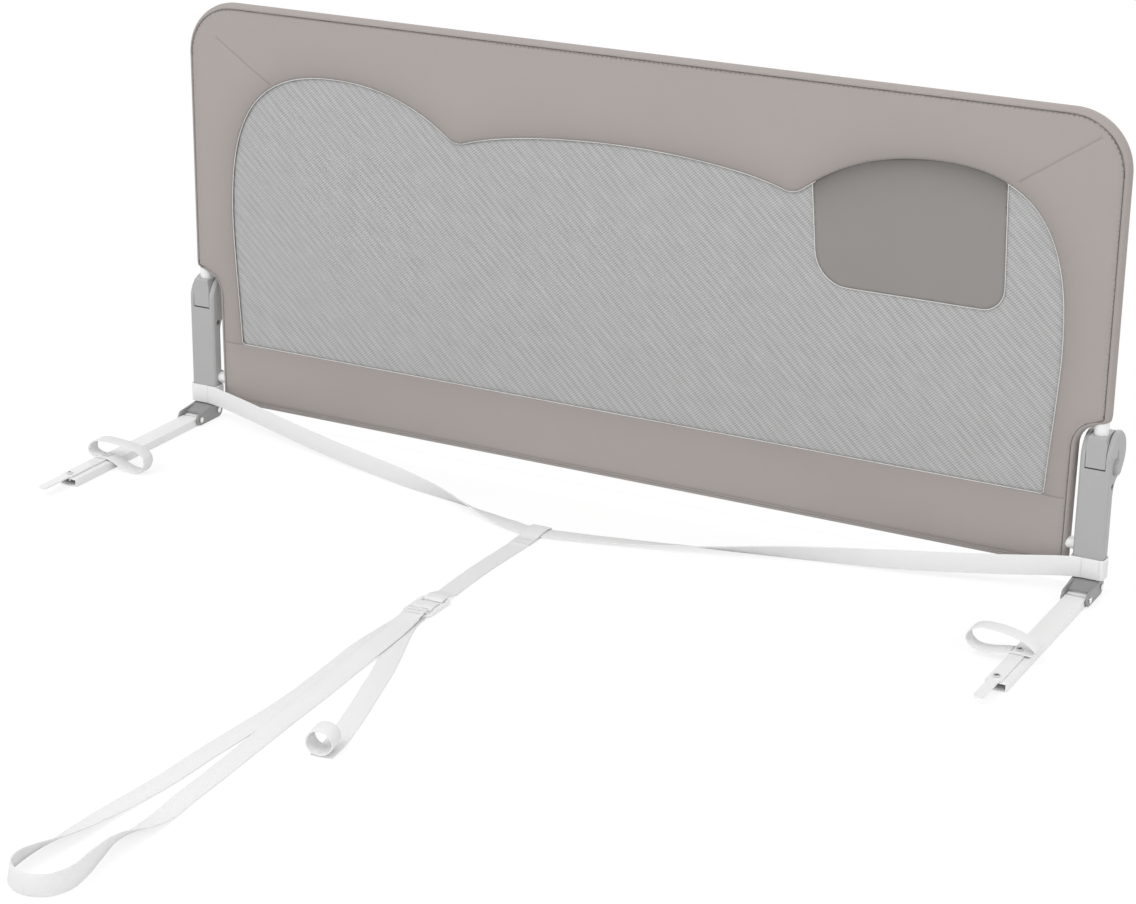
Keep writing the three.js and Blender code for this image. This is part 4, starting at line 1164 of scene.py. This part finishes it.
front_knit = knitted_net("front_knit")
back_knit = knitted_net("back_knit", turn=5)
net_thread = woven_cloth("net_thread", colour(212, 211, 209), pitch=0.0005)

# %% Webbing
HERRING_WIDTH = 0.005
HERRING_PITCH = 0.0019
WARP_PITCH = 0.0011


def woven_webbing(name, base):
    material, tree, shader = start_finish(name, 0.75, **{"Sheen Weight": 0.12})
    uv, along, across = cloth_axes(tree)
    lean = calc(tree, "ABSOLUTE", calc(tree, "MODULO", across, HERRING_WIDTH))
    herring = ribs(tree, calc(tree, "ADD", along, lean), HERRING_PITCH)
    height = calc(tree, "MULTIPLY_ADD", ribs(tree, across, WARP_PITCH), 0.4, herring)
    fuzz = calc(tree, "MULTIPLY", noise_on(tree, uv, 500.0), 0.35)
    shade = calc(tree, "MULTIPLY_ADD", height, 0.5, fuzz)
    relief = bump(tree, height, 0.4, 0.0003)
    feed(shader, {"Base Color": tones(tree, shade, base, 0.93, 1.02), "Normal": relief})
    return material


webbing_weave = woven_webbing("webbing_weave", colour(232, 232, 232))
webbing_thread = woven_cloth("webbing_thread", colour(236, 236, 236), pitch=0.0004)

# %% [markdown]
# The posts are moulded in grey plastic with a finely eroded skin. The arms and tubes are
# steel with white powder paint, which has a slight orange peel. Pins, screws and the post
# cores are zinc-plated steel with faint streaks, and the screws in the posts are given a
# dark copy of that steel as painted shade in their countersinks. An Ambient Occlusion node
# darkens the colour within 1.5 mm of a recess, such as the crosses of the screws: that is
# painted shade.

# %% Hard finishes
def moulded(name, base, roughness=0.5):
    material, tree, shader = start_finish(name, roughness)
    spot = object_place(tree)
    slow, fine = noise_on(tree, spot, 14.0), noise_on(tree, spot, 900.0, 2.0)
    shade = calc(tree, "MULTIPLY_ADD", fine, 0.3, calc(tree, "MULTIPLY", slow, 0.7))
    rough = calc(tree, "MULTIPLY_ADD", slow, 0.12, roughness - 0.06)
    skin = {"Roughness": rough, "Normal": bump(tree, fine, 0.12, 0.0002)}
    feed(shader, {"Base Color": tones(tree, shade, base, 0.95, 1.04), **skin})
    return material


def powder_paint(name, base):
    material, tree, shader = start_finish(name, 0.38)
    spot = object_place(tree)
    paint = tones(tree, noise_on(tree, spot, 8.0), base, 0.96, 1.02)
    peel = bump(tree, noise_on(tree, spot, 420.0, 1.0), 0.08, 0.0003)
    feed(shader, {"Base Color": paint, "Normal": peel})
    return material


def plated_steel(name, base):
    material, tree, shader = start_finish(name, 0.32, Metallic=1.0)
    streaks = node(tree, "ShaderNodeMapping", {"Vector": object_place(tree), "Scale": (1, 1, 0.1)})
    wear_and_painted_shade = noise_on(tree, streaks.outputs[0], 700.0)
    # Painted shade: an Ambient Occlusion node darkens the colour in recesses within 1.5 mm, such as the
    # screws' crosses.
    painted_occlusion = node(tree, "ShaderNodeAmbientOcclusion", {"Distance": 0.0015}, only_local=True)
    unoccluded_share = calc(tree, "POWER", painted_occlusion.outputs["AO"], 3.0)
    plated = blend_colours(tree, unoccluded_share, tint(base, 0.08), tones(tree, wear_and_painted_shade, base, 0.85, 1.1))
    skin = {"Roughness": calc(tree, "MULTIPLY_ADD", wear_and_painted_shade, 0.3, 0.2)}
    feed(shader, {"Base Color": plated, "Normal": bump(tree, wear_and_painted_shade, 0.1, 0.0001), **skin})
    return material


casing_plastic = moulded("casing_plastic", colour(169, 169, 169))
bracket_plastic = moulded("bracket_plastic", colour(140, 140, 140), roughness=0.45)
white_plastic = moulded("white_plastic", colour(238, 238, 238), roughness=0.4)
insert_plastic = moulded("insert_plastic", colour(96, 97, 98))
white_steel = powder_paint("white_steel", colour(235, 235, 235))
zinc_steel = plated_steel("zinc_steel", colour(232, 232, 231))
# The screws in the posts get this dark copy of the plated steel, as painted shade in their countersinks.
countersink_shade_steel = plated_steel("countersink_shade_steel", colour(112, 112, 112))

# %% [markdown]
# The CAD meshes stay as they are. Their faces come separate along the sharp edges, so they
# are welded first, and moulded parts get a small bevel that catches light. A few nodes then
# mark the edges that turn by more than 35 degrees as sharp, and the normals are weighted by
# face size, which keeps large flat faces flat up to their rounded edges.

# %% Edges of the rigid parts
SHARP_TURN = math.radians(35)
BEVEL_TURN = math.radians(40)
BEVEL_WIDTH = 0.0004
WELD_REACH = 0.00002


def sharp_edge_nodes():
    group = bpy.data.node_groups.new("sharp_edges", "GeometryNodeTree")
    group.interface.new_socket("Mesh", in_out="INPUT", socket_type="NodeSocketGeometry")
    group.interface.new_socket("Mesh", in_out="OUTPUT", socket_type="NodeSocketGeometry")
    source = node(group, "NodeGroupInput").outputs["Mesh"]
    smooth = node(group, "GeometryNodeSetShadeSmooth", {"Geometry": source}, domain="FACE")
    turn = node(group, "GeometryNodeInputMeshEdgeAngle").outputs["Unsigned Angle"]
    sharp = node(group, "FunctionNodeCompare", {0: turn, 1: SHARP_TURN}, operation="GREATER_THAN")
    chosen = {"Geometry": smooth.outputs[0], "Selection": sharp.outputs[0], "Shade Smooth": False}
    marked = node(group, "GeometryNodeSetShadeSmooth", chosen, domain="EDGE")
    node(group, "NodeGroupOutput", {"Mesh": marked.outputs[0]})
    return group


sharp_edges = sharp_edge_nodes()


def finish_edges(part, bevelled):
    weld = part.modifiers.new("weld", "WELD")
    weld.merge_threshold = WELD_REACH
    if bevelled:
        bevel = part.modifiers.new("edge", "BEVEL")
        bevel.width = BEVEL_WIDTH
        bevel.segments = 2
        bevel.limit_method = "ANGLE"
        bevel.angle_limit = BEVEL_TURN
        bevel.use_clamp_overlap = False
    sharp = part.modifiers.new("sharp edges", "NODES")
    sharp.node_group = sharp_edges
    level = part.modifiers.new("flat faces", "WEIGHTED_NORMAL")
    level.keep_sharp = True


# %% Dress the rigid parts
REPLACED_WORDS = ("cover", "mesh", "pocket", "strap", "spring", "ring", "buckle")
FINISHES = {
    "casing": casing_plastic,
    "knuckle": casing_plastic,
    "button": casing_plastic,
    "bracket": bracket_plastic,
    "insert": insert_plastic,
    "tube": white_steel,
    "_arm_strip": white_steel,
    # A dark copy of the steel, as painted shade in the countersinks.
    "post_screw": countersink_shade_steel,
}


def finish_for(name):
    if name.endswith("_arm"):
        return white_steel
    for word, finish in FINISHES.items():
        if word in name:
            return finish
    return zinc_steel


for name, part in nodes.items():
    if any(word in name for word in REPLACED_WORDS):
        continue
    if not part.material_slots:
        part.data.materials.append(None)
    for part_slot in part.material_slots:
        part_slot.material = finish_for(name)
    finish_edges(part, "casing" in name or "bracket" in name or "knuckle" in name)
print("finished the rigid ones of", len(nodes), "CAD nodes")

# %% [markdown]
# ## Fixing the soft pieces to the frame
# Each piece rides on a body, or on none. The cover, its nets and its corded seams cross
# the fold line; here they ride on no body and are only baked in place.


def dress(piece, finish, slot, body, *replaced):
    """Give a piece its finish, the body it rides on and the CAD nodes that it replaces. The slot is not
    used.
    """
    piece.data.materials.append(finish)
    if replaced:
        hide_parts(*replaced)
    if body:
        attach(piece, body)
    else:
        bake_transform(piece)


dress(cover, cover_cloth, "cover", None, "upper_cover", "lower_cover")
for piece in pipings:
    dress(piece, piping_in_shade_cloth, "cover", None)
for piece, side, knit in zip(nets, ("front", "back"), (front_knit, back_knit)):
    dress(piece, knit, "mesh", None, f"upper_{side}_mesh", f"lower_{side}_mesh")
for piece in edge_threads:
    dress(piece, net_thread, "mesh", None)
dress(pocket, pocket_cloth, "pocket", "panel", "pocket")
dress(pocket_thread, net_thread, "mesh", "panel")
for name, (strap, _) in straps.items():
    dress(strap, webbing_weave, "webbing", "frame", f"{name}_strap")
dress(buckle, white_plastic, "white_plastic", "frame", "slide_buckle")
dress(ring, webbing_weave, "webbing", "frame", "tail_ring")
dress(bar_fold, webbing_weave, "webbing", "frame")
for tack in frame_tacks:
    dress(tack, webbing_thread, "webbing", "frame")
for name, side in SIDES.items():
    arm, joint = f"{name}_arm", f"{name}_button_press"
    dress(bands[name], webbing_weave, "webbing", "frame", f"{name}_strap_band")
    dress(ties[name], webbing_weave, "webbing", arm, f"{name}_tie_strap")
    dress(tie_tacks[name], webbing_thread, "webbing", arm)
    dress(springs[name], zinc_steel, "bare_steel", "frame", f"{name}_button_spring")
    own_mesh(springs[name])

# %% Gather the straps' facts, which are not passed on
STRAP_FACTS = {
    "cross": {"far_end": "object", "lay": "taut"},
    "centre": {"far_end": "fitting", "lay": "taut", "with_pieces": [buckle, bar_fold]},
    "loop": {"far_end": "object", "lay": "loose"},
    "tail": {"far_end": "fitting", "lay": "loose", "with_pieces": [ring]},
}
for name, facts in STRAP_FACTS.items():
    strap, stations = straps[name]
    path = [tuple(station[0]) for station in stations]
    facts = dict(facts, path=path, stiffness="limp", diameter=WEB_WIDTH)

# %% [markdown]
# ## Ground and light
# The ground stands for the bed base: it ends just behind the posts, because the folded
# panel hangs down beside the bed. It is white in the picture but still takes soft
# shadows. A wide lamp from the upper left gives the cover its slow change of tone.

# %% Ground
GROUND_FRONT, GROUND_BACK, GROUND_HALF = -6.0, 0.1395, 8.0
SHADOW_SHARE = 0.3
GLOW = 1.08
WHITE = (1, 1, 1, 1)


def seen_by_eye(tree):
    """1 where the camera looks, straight or by a reflection or through something clear."""
    rays = node(tree, "ShaderNodeLightPath").outputs
    seen = calc(tree, "MAXIMUM", rays["Is Camera Ray"], rays["Is Glossy Ray"])
    return calc(tree, "MAXIMUM", seen, rays["Is Transmission Ray"])


def ground_finish():
    material = bpy.data.materials.new("white_ground")
    material.use_nodes = True
    tree = material.node_tree
    tree.nodes.clear()
    paper = node(tree, "ShaderNodeBsdfDiffuse", {"Color": (0.86, 0.86, 0.86, 1)}).outputs[0]
    glow = node(tree, "ShaderNodeEmission", {"Color": WHITE, "Strength": GLOW}).outputs[0]
    glow_share = calc(tree, "MULTIPLY", seen_by_eye(tree), 1 - SHADOW_SHARE)
    surface = node(tree, "ShaderNodeMixShader", {0: glow_share, 1: paper, 2: glow})
    node(tree, "ShaderNodeOutputMaterial", {0: surface.outputs[0]})
    return material


corners = [(x, y, 0) for y in (GROUND_FRONT, GROUND_BACK) for x in (-GROUND_HALF, GROUND_HALF)]
ground = new_piece("bed_base", corners, [(0, 1, 3, 2)])
ground.data.materials.append(ground_finish())

# %% Light
WORLD_LIGHT = 0.72
AIM = Vector((0, 0.1, 0.2))


def lamp(name, spot, size, power):
    data = bpy.data.lights.new(name, "AREA")
    data.size = size
    data.energy = power
    thing = linked(name, data)
    thing.location = spot
    thing.rotation_mode = "QUATERNION"
    thing.rotation_quaternion = (AIM - Vector(spot)).to_track_quat("-Z", "Y")


lamp("key_lamp", (-1.4, -3.7, 4.8), 3.6, 140)
lamp("fill_lamp", (5.2, -2.9, 3.4), 4.4, 76)
lamp("back_lamp", (0.6, 5.1, 3.6), 4.4, 104)
world = bpy.data.worlds.new("studio")
bpy.context.scene.world = world
world.use_nodes = True
tree = world.node_tree
tree.nodes.clear()
strength = calc(tree, "MULTIPLY_ADD", seen_by_eye(tree), 1 - WORLD_LIGHT, WORLD_LIGHT)
sky = node(tree, "ShaderNodeBackground", {"Color": WHITE, "Strength": strength})
node(tree, "ShaderNodeOutputWorld", {0: sky.outputs[0]})
bpy.context.scene.view_settings.view_transform = "Standard"
